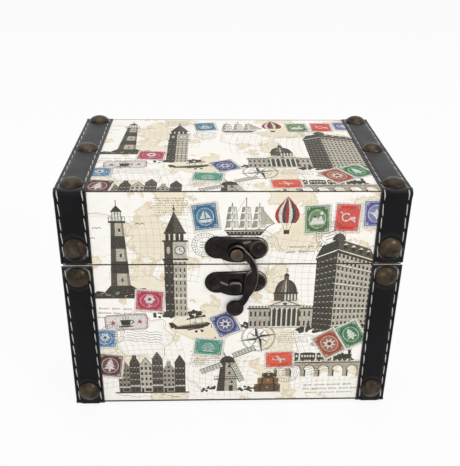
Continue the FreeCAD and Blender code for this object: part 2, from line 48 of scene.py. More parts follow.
CUT_PRECISION = 1e-4


# Small helpers

def linear(red, green, blue):
    """A display colour of 0 to 255 as the linear colour that shaders take."""
    parts = []
    for channel in (red, green, blue):
        share = channel / 255
        parts.append(share / 12.92 if share < 0.04045 else ((share + 0.055) / 1.055) ** 2.4)
    return (*parts, 1.0)


def smooth_step(low, high, value):
    """Zero below low, one above high, and a smooth rise between, for arrays and numbers alike."""
    share = np.clip((np.asarray(value, float) - low) / (high - low), 0, 1)
    return share * share * (3 - 2 * share)


def ridge(value, place, width):
    """One at a place, with a smooth fall to zero on both sides."""
    return np.exp(-((value - place) / width) ** 2)


def rounded(share):
    """A quarter round that rises from zero at an edge to one at a share of one."""
    return np.sqrt(np.clip(1 - (1 - np.clip(share, 0, 1)) ** 2, 0, 1))


def polar(reach, degrees, x=0.0, y=0.0):
    """The point at a reach and an angle from a centre."""
    angle = math.radians(degrees)
    return x + reach * math.cos(angle), y + reach * math.sin(angle)


def new_object(name, data):
    made = bpy.data.objects.new(name, data)
    bpy.context.collection.objects.link(made)
    return made


def add_piece(name, points, faces, body, material, nodes=(), smooth=True):
    """A mesh piece from points in millimetres, riding a body and standing for the named nodes."""
    mesh = bpy.data.meshes.new(name)
    mesh.from_pydata([tuple(c * MM for c in point) for point in points], [], faces)
    mesh.materials.append(material)
    mesh.polygons.foreach_set("use_smooth", [smooth] * len(mesh.polygons))
    mesh.update()
    piece = new_object(name, mesh)
    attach(piece, body)
    if nodes:
        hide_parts(*nodes)
    return piece


def add_values(piece, name, values):
    """One number for each point of a piece, for its finish to read."""
    piece.data.attributes.new(name, "FLOAT", "POINT").data.foreach_set("value", values)


def span(node):
    """A node's lowest and highest corners in millimetres."""
    low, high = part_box(node)
    return Vector(low) / MM, Vector(high) / MM


def tube_faces(rings, sides, base=0, flip=False):
    """The faces of a tube made of rings of points, then its two ends."""
    faces = []
    for ring in range(rings - 1):
        for side in range(sides):
            a = base + ring * sides + side
            b = base + ring * sides + (side + 1) % sides
            faces.append([a, a + sides, b + sides, b] if flip else [a, b, b + sides, a + sides])
    first = list(range(base, base + sides))
    last = [v + (rings - 1) * sides for v in first]
    return faces + ([first, last[::-1]] if flip else [first[::-1], last])


def joined(parts):
    """Several point and face lists as one, with the wear and painted highlight of each point, or none where
    it isn't given.
    """
    points, faces, wear_and_highlight = [], [], []
    for part in parts:
        faces += [[v + len(points) for v in face] for face in part[1]]
        points += part[0]
        wear_and_highlight += list(part[2]) if len(part) > 2 else [0.0] * len(part[0])
    return points, faces, wear_and_highlight


# Materials

class Nodes:
    """A node tree; each input is a number, a display colour, a node or a (node, output) pair."""

    def __init__(self, tree):
        self.tree = tree

    def feed(self, node, inputs):
        for key, source in inputs.items():
            socket = node.inputs[key.replace("_", " ") if isinstance(key, str) else key]
            if isinstance(source, bpy.types.Node):
                source = (source, 0)
            if isinstance(source, tuple) and isinstance(source[0], bpy.types.Node):
                self.tree.links.new(source[0].outputs[source[1]], socket)
            else:
                display = socket.type == "RGBA" and len(source) == 3
                socket.default_value = linear(*source) if display else source

    def node(self, kind, inputs=None, **settings):
        made = self.tree.nodes.new("ShaderNode" + kind)
        for key, setting in settings.items():
            setattr(made, key, setting)
        self.feed(made, inputs or {})
        return made

    def math(self, operation, first, second):
        return self.node("Math", {0: first, 1: second}, operation=operation)

    def seen(self):
        """One where a camera, glossy or see-through ray looks, and zero where a surface gathers light."""
        path = self.node("LightPath")
        first = self.math("MAXIMUM", (path, "Is Camera Ray"), (path, "Is Glossy Ray"))
        return self.math("MAXIMUM", first, (path, "Is Transmission Ray"))


class Finish(Nodes):
    """A material built round one surface node."""

    def __init__(self, name, **surface):
        self.material = bpy.data.materials.new(name)
        self.material.use_nodes = True
        super().__init__(self.material.node_tree)
        self.surface = self.tree.nodes["Principled BSDF"]
        self.feed(self.surface, surface)

    def place(self):
        return (self.node("TexCoord"), "Object")

    def noise(self, scale, detail=3, rough=0.5, vector=None):
        vector = vector or self.place()
        return self.node("TexNoise", {"Vector": vector, "Scale": scale, "Detail": detail, "Roughness": rough})

    def range(self, source, low, high, to_low, to_high):
        return self.node("MapRange", {"Value": source, "From Min": low, "From Max": high,
                                      "To Min": to_low, "To Max": to_high})

    def mix(self, share, first, second):
        return self.node("MixRGB", {"Fac": share, "Color1": first, "Color2": second})

    def ramp(self, source, stops):
        made = self.node("ValToRGB", {"Fac": source})
        elements = made.color_ramp.elements
        for i, (place, shade) in enumerate(stops):
            stop = elements[i] if i < 2 else elements.new(place)
            stop.position = place
            stop.color = linear(*shade)
        return made

    def attribute(self, name, output="Fac"):
        return (self.node("Attribute", attribute_name=name), output)

    def bump(self, height, strength, distance, normal=None):
        inputs = {"Height": height, "Strength": strength, "Distance": distance * MM}
        if normal:
            inputs["Normal"] = normal
        return self.node("Bump", inputs)

    def done(self, **surface):
        self.feed(self.surface, surface)
        return self.material


def leather_finish():
    """Black glossy leather: pebbled grain, fine pores, greyer rubbed places with painted highlights, and a
    painted sheen on its upward faces.
    """
    made = Finish("black_leather", Specular_IOR_Level=0.12)
    pebble = made.node("TexVoronoi", {"Vector": made.place(), "Scale": 900.0, "Randomness": 1.0},
                       feature="SMOOTH_F1")
    pores = made.noise(2600.0, 2)
    patches = made.noise(55.0, 4)
    # Greyer rubbed places and painted highlights from the per-point attribute, broken up by patches.
    rub_and_highlight = made.math("MULTIPLY", made.attribute("wear_and_highlight"), made.range(patches, 0.3, 0.7, 0.4, 1.0))
    shade = made.mix(made.range(patches, 0.35, 0.65, 0.0, 1.0), (10, 10, 13), (16, 16, 20))
    # Painted sheen: faces turned upward are lightened to grey, as if they caught the light from above.
    shade = made.mix(made.attribute("painted_top_sheen"), shade, (52, 52, 54))
    grain = made.bump(pebble, 0.35, 0.12)
    return made.done(Base_Color=made.mix(rub_and_highlight, shade, (128, 126, 126)),
                     Roughness=made.range(patches, 0.3, 0.7, 0.34, 0.46),
                     Normal=made.bump(pores, 0.2, 0.05, grain))


def thread_finish():
    """Waxed off-white thread with a faint twist."""
    made = Finish("waxed_thread", Specular_IOR_Level=0.25, Roughness=0.62)
    patches = made.noise(220.0)
    twist = made.node("TexWave", {"Vector": made.place(), "Scale": 420.0, "Distortion": 1.5},
                      bands_direction="DIAGONAL")
    shade = made.mix(made.range(patches, 0.3, 0.7, 0.0, 1.0), (160, 158, 156), (206, 203, 200))
    return made.done(Base_Color=shade, Normal=made.bump(twist, 0.5, 0.12))


def metal_finish(name, dark, mid, bright):
    """Aged metal: dark patina in the hollows, mottled body, brighter at rubbed places and at painted
    highlights, as the per-point attribute gives.
    """
    made = Finish(name, Metallic=0.9)
    patches = made.noise(160.0, 5, 0.6)
    specks = made.noise(900.0, 2)
    body = made.mix(made.range(patches, 0.35, 0.68, 0.0, 1.0), dark, mid)
    # Rubbed places and painted highlights, brightened where the per-point attribute says.
    rub_and_highlight = made.math("MULTIPLY", made.attribute("wear_and_highlight"), made.range(specks, 0.3, 0.6, 0.45, 1.0))
    dents = made.bump(patches, 0.25, 0.25)
    return made.done(Base_Color=made.mix(rub_and_highlight, body, bright),
                     Roughness=made.range(patches, 0.3, 0.7, 0.46, 0.28),
                     Normal=made.bump(specks, 0.12, 0.05, dents))


def paper_finish():
    """Satin paper with tan map washes, and printed ink where the Ink attribute covers it."""
    made = Finish("printed_paper", Specular_IOR_Level=0.12)
    sheet = made.node("UVMap", uv_map="Sheet")
    washes = made.ramp(made.noise(2.3, 5, 0.58, sheet), (
        (0.0, (254, 252, 247)), (0.515, (253, 250, 243)), (0.535, (224, 208, 176)), (0.555, (243, 234, 214)),
        (0.64, (238, 227, 202)), (0.8, (230, 214, 182))))
    stains = made.noise(17.0, 4, 0.6, sheet)
    base = made.mix(made.range(stains, 0.5, 0.78, 0.0, 0.4), washes, (240, 231, 212))
    grain = made.noise(240.0, 2, 0.5, sheet)
    hatch = made.node("TexWave", {"Vector": sheet, "Scale": 35.0, "Distortion": 2.5, "Detail": 2.0})
    ink = made.attribute("Ink", "Color")
    for pattern, low, high, most, tint in (
            (made.noise(60.0, 4, 0.7, sheet), 0.35, 0.65, 0.45, (18, 15, 13)),
            (made.noise(110.0, 3, 0.65, sheet), 0.52, 0.72, 0.18, (232, 222, 202)),
            (hatch, 0.45, 0.95, 0.3, (18, 15, 13)), (grain, 0.4, 0.75, 0.06, (240, 232, 216))):
        ink = made.mix(made.range(pattern, low, high, 0.0, most), ink, tint)
    shown = made.math("MULTIPLY", made.attribute("Ink", "Alpha"), made.range(grain, 0.3, 0.75, 1.0, 0.93))
    fibre = made.bump(grain, 0.08, 0.05)
    return made.done(Base_Color=made.mix(shown, base, ink), Roughness=made.range(stains, 0.3, 0.7, 0.5, 0.62),
                     Normal=made.bump(stains, 0.1, 0.3, fibre))


def board_finish():
    """Pale raw board with a soft grain along its length."""
    made = Finish("raw_board", Roughness=0.75, Specular_IOR_Level=0.25)
    long = made.node("Mapping", {"Vector": made.place(), "Scale": (14.0, 90.0, 90.0)})
    grain = made.noise(3.0, 6, 0.65, long)
    shade = made.ramp(grain, ((0.3, (150, 118, 82)), (0.7, (196, 164, 122))))
    return made.done(Base_Color=shade, Normal=made.bump(grain, 0.2, 0.15))


def plain_paper_finish(name, dark, pale, scale):
    """Matt unprinted paper with clouded fibres."""
    made = Finish(name, Roughness=0.85, Specular_IOR_Level=0.15)
    clouds = made.noise(scale, 6, 0.7)
    fibres = made.noise(1500.0, 3, 0.6)
    shade = made.mix(made.range(clouds, 0.3, 0.7, 0.0, 1.0), dark, pale)
    return made.done(Base_Color=made.mix(made.range(fibres, 0.55, 0.8, 0.0, 0.3), shade, pale),
                     Normal=made.bump(fibres, 0.25, 0.06))


# Camera, floor and light

PHOTO_LENS = 52.84
SENSOR_WIDTH = 36
NEAR_CLIP = 0.01
PHOTO_PLACE = (-0.01838, -0.47737, 0.35267)
PHOTO_TURN = (62.749, -0.755, -1.854)
PURE_WHITE = (1, 1, 1, 1)
SEEN_WHITE = (0.97, 0.97, 0.97, 1)
FLOOR_WHITE = (0.95, 0.95, 0.95, 1)
FLOOR_REACH = 12.0


def photo_camera():
    """The photograph's own view, for an image of 460 by 466."""
    data = bpy.data.cameras.new("photo_camera")
    data.lens = PHOTO_LENS
    data.sensor_width = SENSOR_WIDTH
    data.clip_start = NEAR_CLIP
    camera = new_object("photo_camera", data)
    camera.location = PHOTO_PLACE
    camera.rotation_euler = [math.radians(angle) for angle in PHOTO_TURN]
    bpy.context.scene.camera = camera


def white_world(fill):
    """A white surround that lights the object with the fill strength."""
    world = bpy.data.worlds.new("white_surround")
    world.use_nodes = True
    bpy.context.scene.world = world
    made = Nodes(world.node_tree)
    light = made.tree.nodes["Background"]
    made.feed(light, {"Color": PURE_WHITE, "Strength": fill})
    plain = made.node("Background", {"Color": SEEN_WHITE, "Strength": 1.0})
    shown = made.node("MixShader", {0: made.seen(), 1: light, 2: plain})
    made.feed(made.tree.nodes["World Output"], {"Surface": shown})


def white_floor(lift):
    """A wide pale floor that keeps the object's shadow under a share of plain white."""
    made = Finish("pale_floor", Roughness=0.9, Specular_IOR_Level=0.1, Base_Color=FLOOR_WHITE)
    glow = made.node("Emission", {"Color": PURE_WHITE, "Strength": 1.0})
    share = made.math("MULTIPLY", made.seen(), lift)
    shown = made.node("MixShader", {0: share, 1: made.surface, 2: glow})
    made.feed(made.tree.nodes["Material Output"], {"Surface": shown})
    mesh = bpy.data.meshes.new("floor")
    corners = [(x * FLOOR_REACH, y * FLOOR_REACH, 0) for x, y in ((-1, -1), (1, -1), (1, 1), (-1, 1))]
    mesh.from_pydata(corners, [], [(0, 1, 2, 3)])
    mesh.materials.append(made.material)
    floor = new_object("floor", mesh)


def soft_light(name, place, target, size, power):
    data = bpy.data.lights.new(name, "AREA")
    data.shape = "DISK"
    data.size = size
    data.energy = power
    lamp = new_object(name, data)
    lamp.location = place
    aim = Vector(target) - Vector(place)
    lamp.rotation_euler = aim.to_track_quat("-Z", "Y").to_euler()


# Straps with their stitching, in millimetres

STRAP_THICK = 1.8
STRAP_STEP = 1.4
STRAP_EDGE = 1.15
STRAP_PAD = 0.65
EDGE_ROUND = 0.7
EDGE_STEPS = (0.0, 0.08, 0.22, 0.45, 0.75, 1.1, 1.5, 1.8, 2.05, 2.3, 2.5, 2.7, 2.95, 3.2, 3.6, 4.2, 5.0)
END_STEPS = (0.12, 0.35, 0.7)
BACK_WEAR = 0.22
BASE_BEND = 3.0
LID_BEND = 4.6
BEND_TURNS = 10
BEND_COVER = 1.25
BEND_APART = 5
GROOVE_DEPTH = 0.42
GROOVE_WIDTH = 0.62
GROOVE_PUCKER = 0.45
LEATHER_WAVE = 0.06
PAD_INSET = 5.8
PAD_LINES = 8
STITCH_INSET = 2.5
STITCH_PITCH = 10.4
STITCH_LENGTH = 9.3
STITCH_SLANT = 0.34
STITCH_RINGS = 9
STITCH_SIDES = 8
STITCH_MARGIN = 3.0
THREAD_WIDTH = 0.92
THREAD_FLATTEN = 0.72
STUD_RADIUS = 7.9
STUD_FLATTEN = 0.6
STUD_DENT = 0.09
STUD_HOLLOW = 0.34
STUD_SWELL = 0.12
END_STUD_REACH = 20
STUD_TOP_REACH = 65.4
STUD_LOW, STUD_HIGH = 13.5, 111.6
STUD_LID = 134.0


def strap_path(corners, radius):
    """Stations along a strap's outer line: place, outward normal and length so far, in the YZ plane."""
    corners = [Vector(corner) for corner in corners]
    stations = []

    def straight(start, end):
        run = end - start
        count = max(2, round(run.length / STRAP_STEP))
        side = Vector((run.y, -run.x)).normalized()
        return [(start + run * i / count, side) for i in range(count)]

    point = corners[0]
    for before, corner, after in zip(corners, corners[1:], corners[2:]):
        come = (corner - before).normalized()
        leave = (after - corner).normalized()
        stations += straight(point, corner - come * radius)
        centre = corner - come * radius + leave * radius
        for i in range(BEND_TURNS):
            angle = math.pi / 2 * i / BEND_TURNS
            outward = come * math.sin(angle) - leave * math.cos(angle)
            stations.append((centre + outward * radius, outward))
        point = corner + leave * radius
    stations += straight(point, corners[-1])
    stations.append((corners[-1], stations[-1][1]))
    total = 0.0
    path = []
    for i, (place, outward) in enumerate(stations):
        if i:
            total += (place - stations[i - 1][0]).length
        path.append((place, outward, total))
    return path


def path_place(path, spot):
    """How far along a strap's line a point on it lies."""
    nearest = min(path, key=lambda station: (station[0] - Vector(spot)).length)
    return nearest[2]


def strap_bends(path):
    """Where a strap turns a corner: the lengths at which each turn starts and ends."""
    bends = []
    for (_, before, _), (_, outward, length) in zip(path, path[1:]):
        if (outward - before).length > 0.01:
            if bends and length - bends[-1][1] < BEND_APART:
                bends[-1][1] = length
            else:
                bends.append([length, length])
    return bends


def strap_height(across, along, total, half, studs, bends):
    """How far the leather stands off the box: padded middle, sewn grooves, thin turned edges."""
    inset = half - np.abs(across)
    body = STRAP_EDGE + STRAP_PAD * smooth_step(STITCH_INSET - 0.2, STITCH_INSET + 2.8, inset)
    groove = GROOVE_DEPTH * ridge(inset, STITCH_INSET, GROOVE_WIDTH)
    pucker = 1 + GROOVE_PUCKER * np.cos(2 * math.pi * along / STITCH_PITCH)
    height = (body - groove * pucker) * (0.22 + 0.78 * rounded(inset / EDGE_ROUND))
    wave = LEATHER_WAVE * np.sin(along / 7.3 + 1.7) * np.cos(across / 3.1 + along / 19)
    height = height + wave * smooth_step(1.5, 4.0, inset)
    for place in studs:
        beyond = np.hypot(across, along - place) - STUD_RADIUS
        height = height - STUD_HOLLOW * ridge(beyond, 0.5, 0.8)
        height = height + STUD_SWELL * ridge(beyond, 2.4, 0.9)
    height = height * (0.3 + 0.7 * rounded(np.minimum(along, total - along)))
    for low, high in bends:
        inside = smooth_step(low - 2.5, low - 0.5, along) * (1 - smooth_step(high + 0.5, high + 2.5, along))
        height = np.maximum(height, BEND_COVER * inside)
    return np.clip(height, 0.05, STRAP_THICK)


def strap_wear_and_highlight(across, along, total, half, studs):
    """Where the leather is rubbed greyer, at its edges and its ends, and where highlights are painted: a ring
    about each stud and crease arcs by the studs near the ends.
    """
    inset = half - np.abs(across)
    ends = np.minimum(along, total - along)
    wear_and_highlight = np.maximum(0.3 * (1 - smooth_step(0.0, 0.9, inset)), 0.28 * (1 - smooth_step(0.0, 1.6, ends)))
    for place in studs:
        beyond = np.hypot(across, along - place) - STUD_RADIUS
        # Painted highlight: a faint light ring about each stud.
        wear_and_highlight = np.maximum(wear_and_highlight, 0.1 * ridge(beyond, 1.6, 0.8))
        if min(place, total - place) < END_STUD_REACH:
            to_end = along - place if place > total / 2 else place - along
            # Painted highlight: crease arcs beside each stud near a strap end, on the side toward that end.
            crease_highlight = ridge(beyond, 1.0, 0.6) * smooth_step(2, 6, np.abs(across)) * smooth_step(-1, 4, to_end)
            wear_and_highlight = np.maximum(wear_and_highlight, crease_highlight)
    return wear_and_highlight


def stitch_line(path, middle, across, height_at):
    """Running stitches along one edge of a strap, as capsules that dive in at both ends."""
    lengths = np.array([station[2] for station in path])
    lines = np.array([(*place, *outward) for place, outward, _ in path]).T
    total = lengths[-1]
    count = int((total - STITCH_MARGIN) // STITCH_PITCH)
    start = (total - (count - 1) * STITCH_PITCH) / 2 - STITCH_LENGTH / 2
    points, faces = [], []
    for i in range(count):
        begin = start + i * STITCH_PITCH + random.uniform(-0.35, 0.35)
        long = STITCH_LENGTH + random.uniform(-0.5, 0.4)
        slant = STITCH_SLANT * random.uniform(0.7, 1.3)
        faces += tube_faces(STITCH_RINGS, STITCH_SIDES, len(points))
        for ring in range(STITCH_RINGS):
            share = ring / (STITCH_RINGS - 1)
            along = begin + long * share
            offset = across + slant * (2 * share - 1)
            lift = math.sin(math.pi * min(max(share, 0.02), 0.98)) ** 0.35
            y, z, out_y, out_z = [np.interp(along, lengths, values) for values in lines]
            core = float(height_at(offset, along)) + THREAD_WIDTH * (-0.55 + 0.62 * lift)
            swell = 0.5 * THREAD_WIDTH * (0.35 + 0.65 * lift)
            for side in range(STITCH_SIDES):
                turn = 2 * math.pi * side / STITCH_SIDES
                rise = core + swell * THREAD_FLATTEN * math.sin(turn) - STRAP_THICK
                points.append((middle + offset + swell * math.cos(turn), y + out_y * rise, z + out_z * rise))
    return points, faces


def add_strap(node, corners, bend, spots, body, leather, thread):
    """One strap round the box, swept along its line, with its two rows of stitches."""
    low, high = span(node)
    middle, half = (low.x + high.x) / 2, (high.x - low.x) / 2
    path = strap_path(corners, bend)
    total = path[-1][2]
    bends = strap_bends(path)
    studs = [path_place(path, spot) for spot in spots]
    more = []
    for share in END_STEPS:
        for end, after in ((path[0], path[1]), (path[-1], path[-2])):
            more.append((end[0].lerp(after[0], share), end[1], end[2] + (after[2] - end[2]) * share))
    path = sorted(path + more, key=lambda station: station[2])
    inner = np.linspace(-(half - PAD_INSET), half - PAD_INSET, PAD_LINES)
    across = np.array([*(s - half for s in EDGE_STEPS), *inner, *(half - s for s in reversed(EDGE_STEPS))])
    grid = np.meshgrid(across, np.array([station[2] for station in path]))
    heights = strap_height(*grid, total, half, studs, bends)
    wear_and_highlight = strap_wear_and_highlight(*grid, total, half, studs)
    points, wear_and_highlight_values, painted_top_sheen_values = [], [], []
    offsets = [*across, half, -half]
    for (place, outward, _), tops, rubs_and_highlights in zip(path, heights, wear_and_highlight):
        for offset, rise in zip(offsets, [*(tops - STRAP_THICK), -STRAP_THICK, -STRAP_THICK]):
            points.append((middle + offset, place.x + outward.x * rise, place.y + outward.y * rise))
        wear_and_highlight_values += [*rubs_and_highlights, BACK_WEAR, BACK_WEAR]
        # Painted sheen mask: one on faces turned upward, zero on the sides and underneath.
        painted_top_sheen_values += [float(smooth_step(0.5, 1.0, outward.y))] * len(offsets)
    faces = tube_faces(len(path), len(offsets), flip=True)
    strap = add_piece(node + "_leather", points, faces, body, leather, [node])
    # The points' wear with painted highlights, and the painted sheen, for the leather finish.
    add_values(strap, "wear_and_highlight", wear_and_highlight_values)
    add_values(strap, "painted_top_sheen", painted_top_sheen_values)

    def height_at(offset, place):
        return strap_height(offset, place, total, half, studs, bends)

    rows = [stitch_line(path, middle, side * (half - STITCH_INSET), height_at) for side in (-1, 1)]
    points, faces, _ = joined(rows)
    add_piece(node + "_stitches", points, faces, body, thread)


def add_straps(leather, thread):
    """On each side one strap under the base and one over the lid."""
    for side in ("left", "right"):
        node = f"base_{side}_strap"
        low, high = span(node)
        corners = [(low.y, high.z), (low.y, low.z), (high.y, low.z), (high.y, high.z)]
        spots = [(low.y, STUD_HIGH), (low.y, STUD_LOW), (high.y, STUD_LOW), (high.y, STUD_HIGH)]
        add_strap(node, corners, BASE_BEND, spots, "base", leather, thread)
        node = f"lid_{side}_strap"
        low, high = span(node)
        corners = [(high.y, low.z), (high.y, high.z), (low.y, high.z), (low.y, low.z)]
        tops = [(y, high.z) for y in (STUD_TOP_REACH, 0.0, -STUD_TOP_REACH)]
        spots = [(high.y, STUD_LID), *tops, (low.y, STUD_LID)]
        add_strap(node, corners, LID_BEND, spots, "lid", leather, thread)


# Metalwork

LEFT, RIGHT = 1, -1
FRONT = (0, -1, 0)
PLATE_HALF = 8.3
PLATE_REACH = 21.5
PLATE_SHOULDER = 13.2
PLATE_SPACING = 0.8
PLATE_THICK = 1.42
PLATE_PILLOW = 0.2
PLATE_ROUND = 1.35
PLATE_LIMITS = (0.2, 1.78)
PLATE_BELLY = 2.8
BELLY_HALF = 10.5
DISH_REACH = 15.2
DISH_LIP = 5.7
LIP_RISE = 0.36
DISH_DEPTH = 0.75
HOOK_SPACING = 0.7
HOOK_REAR = 2.25
HOOK_SIDE = 2.9
HOOK_ROUND = 1.85
EYE_RADIUS = 6.5
EYE_DISH = 0.75
BALL_RADIUS = 6.15
BALL_SWELL = 2.7
BALL_LEVEL = 3.5
POST_SHIFT, POST_DROP = 0.4, 2.9
POST_WIDE, POST_HIGH, POST_CORNER = 4.6, 4.8, 2.6
POST_REAR = 0.9
POST_SIDE = 3.3
POST_ROUND = 1.55
POST_CROWN = 0.13
RIVET_DENT = 0.05
RIM_INSETS = (0.1, 0.28, 0.55, 0.9, 1.35)


def outline_points(corners, step=0.6):
    """Points round a closed outline; a corner with a radius and a turn starts an arc to the next corner."""
    points = []
    for corner, after in zip(corners, corners[1:] + corners[:1]):
        start, end = Vector(corner[:2]), Vector(after[:2])
        run = end - start
        if len(corner) == 2:
            count = max(1, round(run.length / step))
            points += [start + run * i / count for i in range(count)]
            continue
        radius, side = corner[2:]
        half = run.length / 2
        normal = Vector((-run.y, run.x)).normalized() * side
        centre = (start + end) / 2 + normal * math.sqrt(max(radius ** 2 - half ** 2, 0))
        sweep = 2 * math.asin(min(1, half / radius)) * side
        count = max(2, round(abs(sweep) * radius / step))
        first = math.atan2(start.y - centre.y, start.x - centre.x)
        for i in range(count):
            angle = first + sweep * i / count
            points.append(centre + radius * Vector((math.cos(angle), math.sin(angle))))
    return points


def circle(x, z, radius, sides=48):
    turns = [2 * math.pi * i / sides for i in range(sides)]
    return [Vector((x + radius * math.cos(turn), z + radius * math.sin(turn))) for turn in turns]


def rim_loop(triangles):
    """The outer edge of joined triangles, as one ring of point numbers."""
    pairs = {(a, b) for face in triangles for a, b in zip(face, face[1:] + face[:1])}
    after = {a: b for a, b in pairs if (b, a) not in pairs}
    loop = [min(after)]
    while after[loop[-1]] != loop[0]:
        loop.append(after[loop[-1]])
    return loop


def cut(outlines, more=()):
    """Overlapping outlines cut into triangles: points, triangles, and the outlines that each lies in."""
    points, faces = [], []
    for outline in outlines:
        faces.append([len(points) + i for i in range(len(outline))])
        points += [Vector(point) for point in outline]
    points += [Vector(point) for point in more]
    spots, _, triangles, _, _, origins = delaunay_2d_cdt(points, [], faces, 0, CUT_PRECISION, True)
    return spots, triangles, origins


def triangulated(outlines, more=()):
    """Triangles that fill overlapping outlines, with more points scattered inside."""
    spots, triangles, origins = cut(outlines, more)
    return spots, [list(face) for face, origin in zip(triangles, origins) if origin]


def united(*outlines):
    """One outline round several that overlap."""
    spots, triangles = triangulated(outlines)
    return [spots[v] for v in rim_loop(triangles)]


def segment_gap(spots, starts, runs):
    """How far each spot lies from the nearest of some straight segments."""
    reach = spots[:, None, :] - starts[None]
    share = np.clip((reach * runs).sum(-1) / (runs ** 2).sum(-1), 0, 1)
    return np.linalg.norm(reach - share[..., None] * runs, axis=-1).min(axis=1)


def relief(outline, spacing, front, back):
    """A closed solid on an outline: front and back give depths from x, z and the distance to the edge."""
    rim = np.array([tuple(point) for point in outline])
    run = np.roll(rim, -1, axis=0) - rim
    along = np.roll(rim, -1, axis=0) - np.roll(rim, 1, axis=0)
    inward = np.stack([-along[:, 1], along[:, 0]], axis=1) / np.linalg.norm(along, axis=1)[:, None]
    more = []
    for inset in RIM_INSETS:
        ring = rim + inward * inset
        more.append(ring[segment_gap(ring, rim, run) > 0.93 * inset])
    axes = [np.arange(rim[:, i].min(), rim[:, i].max(), spacing) for i in (0, 1)]
    grid = np.stack(np.meshgrid(*axes), -1).reshape(-1, 2)
    more.append(grid[segment_gap(grid, rim, run) > RIM_INSETS[-1] + spacing / 2])
    spots, triangles = triangulated([outline], np.concatenate(more))
    used = sorted({v for face in triangles for v in face})
    number = {v: i for i, v in enumerate(used)}
    triangles = [[number[v] for v in face] for face in triangles]
    flat = np.array([tuple(spots[v]) for v in used])
    gap = segment_gap(flat, rim, run)
    count = len(flat)
    u, v = flat.T
    rear = back(u, v) if callable(back) else np.full(count, float(back))
    points = np.stack([np.tile(u, 2), -np.concatenate([front(u, v, gap), rear]), np.tile(v, 2)], axis=1)
    loop = rim_loop(triangles)
    faces = triangles + [[v + count for v in reversed(face)] for face in triangles]
    faces += [[b, a, a + count, b + count] for a, b in zip(loop, loop[1:] + loop[:1])]
    return points.tolist(), faces, np.tile(gap, 2)


def set_at(points, x, z, tilt=0.0):
    """Points moved to a place on the front, after a tilt in degrees."""
    c, s = math.cos(math.radians(tilt)), math.sin(math.radians(tilt))
    return [(x + c * px - s * pz, py, z + s * px + c * pz) for px, py, pz in points]


def turned(profile, place, axis, sides=44, dent=0.0):
    """A lathe shape: the profile runs from the rim to the middle as radius and height along the axis."""
    axis, place = Vector(axis), Vector(place)
    side = axis.orthogonal().normalized()
    other = axis.cross(side)
    points = []
    for radius, height in profile[:-1]:
        for i in range(sides):
            turn = 2 * math.pi * i / sides
            spot = place + radius * (side * math.cos(turn) + other * math.sin(turn))
            points.append(spot + axis * (height + dent * noise.noise(spot * 0.28)))
    *walls, foot, top = tube_faces(len(profile) - 1, sides)
    tips = [[a, b, len(points)] for a, b in zip(top, top[1:] + top[:1])]
    points.append(place + axis * profile[-1][1])
    return points, walls + tips + [foot]


def add_metal(node, parts, body, material):
    points, faces, wear_and_highlight = joined(parts)
    piece = add_piece(node + "_metal", points, faces, body, material, [node])
    add_values(piece, "wear_and_highlight", wear_and_highlight)


def cap(radius, low, high, steps):
    """The profile of a dome from its rim at the low height to its crown."""
    rise = high - low
    ball = (radius ** 2 + rise ** 2) / (2 * rise)
    widest = math.asin(radius / ball)
    turns = [widest * (1 - i / steps) for i in range(steps + 1)]
    return [(ball * math.sin(turn), high - ball * (1 - math.cos(turn))) for turn in turns]


def full_dome(radius, low, high, steps=12):
    """The profile of a dome with a broad crown and full shoulders."""
    reaches = [max(math.cos(math.pi / 2 * i / steps), 0.0) for i in range(steps + 1)]
    return [(radius * reach, low + (high - low) * max(1 - reach ** 2.5, 0.0) ** 0.75) for reach in reaches]


def add_studs(brass):
    """Domed studs with a skirt pressed into the leather, on the straps' fronts, backs and tops."""
    for part, side in (("base", "left"), ("base", "right"), ("lid", "left"), ("lid", "right")):
        node = f"{part}_{side}_studs"
        low, high = span(node)
        strap_low, strap_high = span(f"{part}_{side}_strap")
        middle, radius = (low.x + high.x) / 2, (high.x - low.x) / 2
        tall = strap_low.y - low.y
        spots = []
        for face, y in ((-1, strap_low.y), (1, strap_high.y)):
            spots.append(((middle, y, low.z + radius), (0, face, 0)))
            if part == "base":
                spots.append(((middle, y, high.z - radius), (0, face, 0)))
            else:
                spots.append(((middle, face * STUD_TOP_REACH, strap_high.z), (0, 0, 1)))
        if part == "lid":
            spots.append(((middle, 0, strap_high.z), (0, 0, 1)))
        profile = [(radius - 0.25, -0.9), (radius, -0.4)] + full_dome(radius, 0.0, tall - STUD_FLATTEN)
        parts = []
        for place, axis in spots:
            points, faces = turned(profile, place, axis, dent=STUD_DENT)
            rises = [(point - Vector(place)).dot(Vector(axis)) / tall for point in points]
            parts.append((points, faces, [0.08 * max(rise, 0) ** 3 for rise in rises]))
        add_metal(node, parts, part, brass)


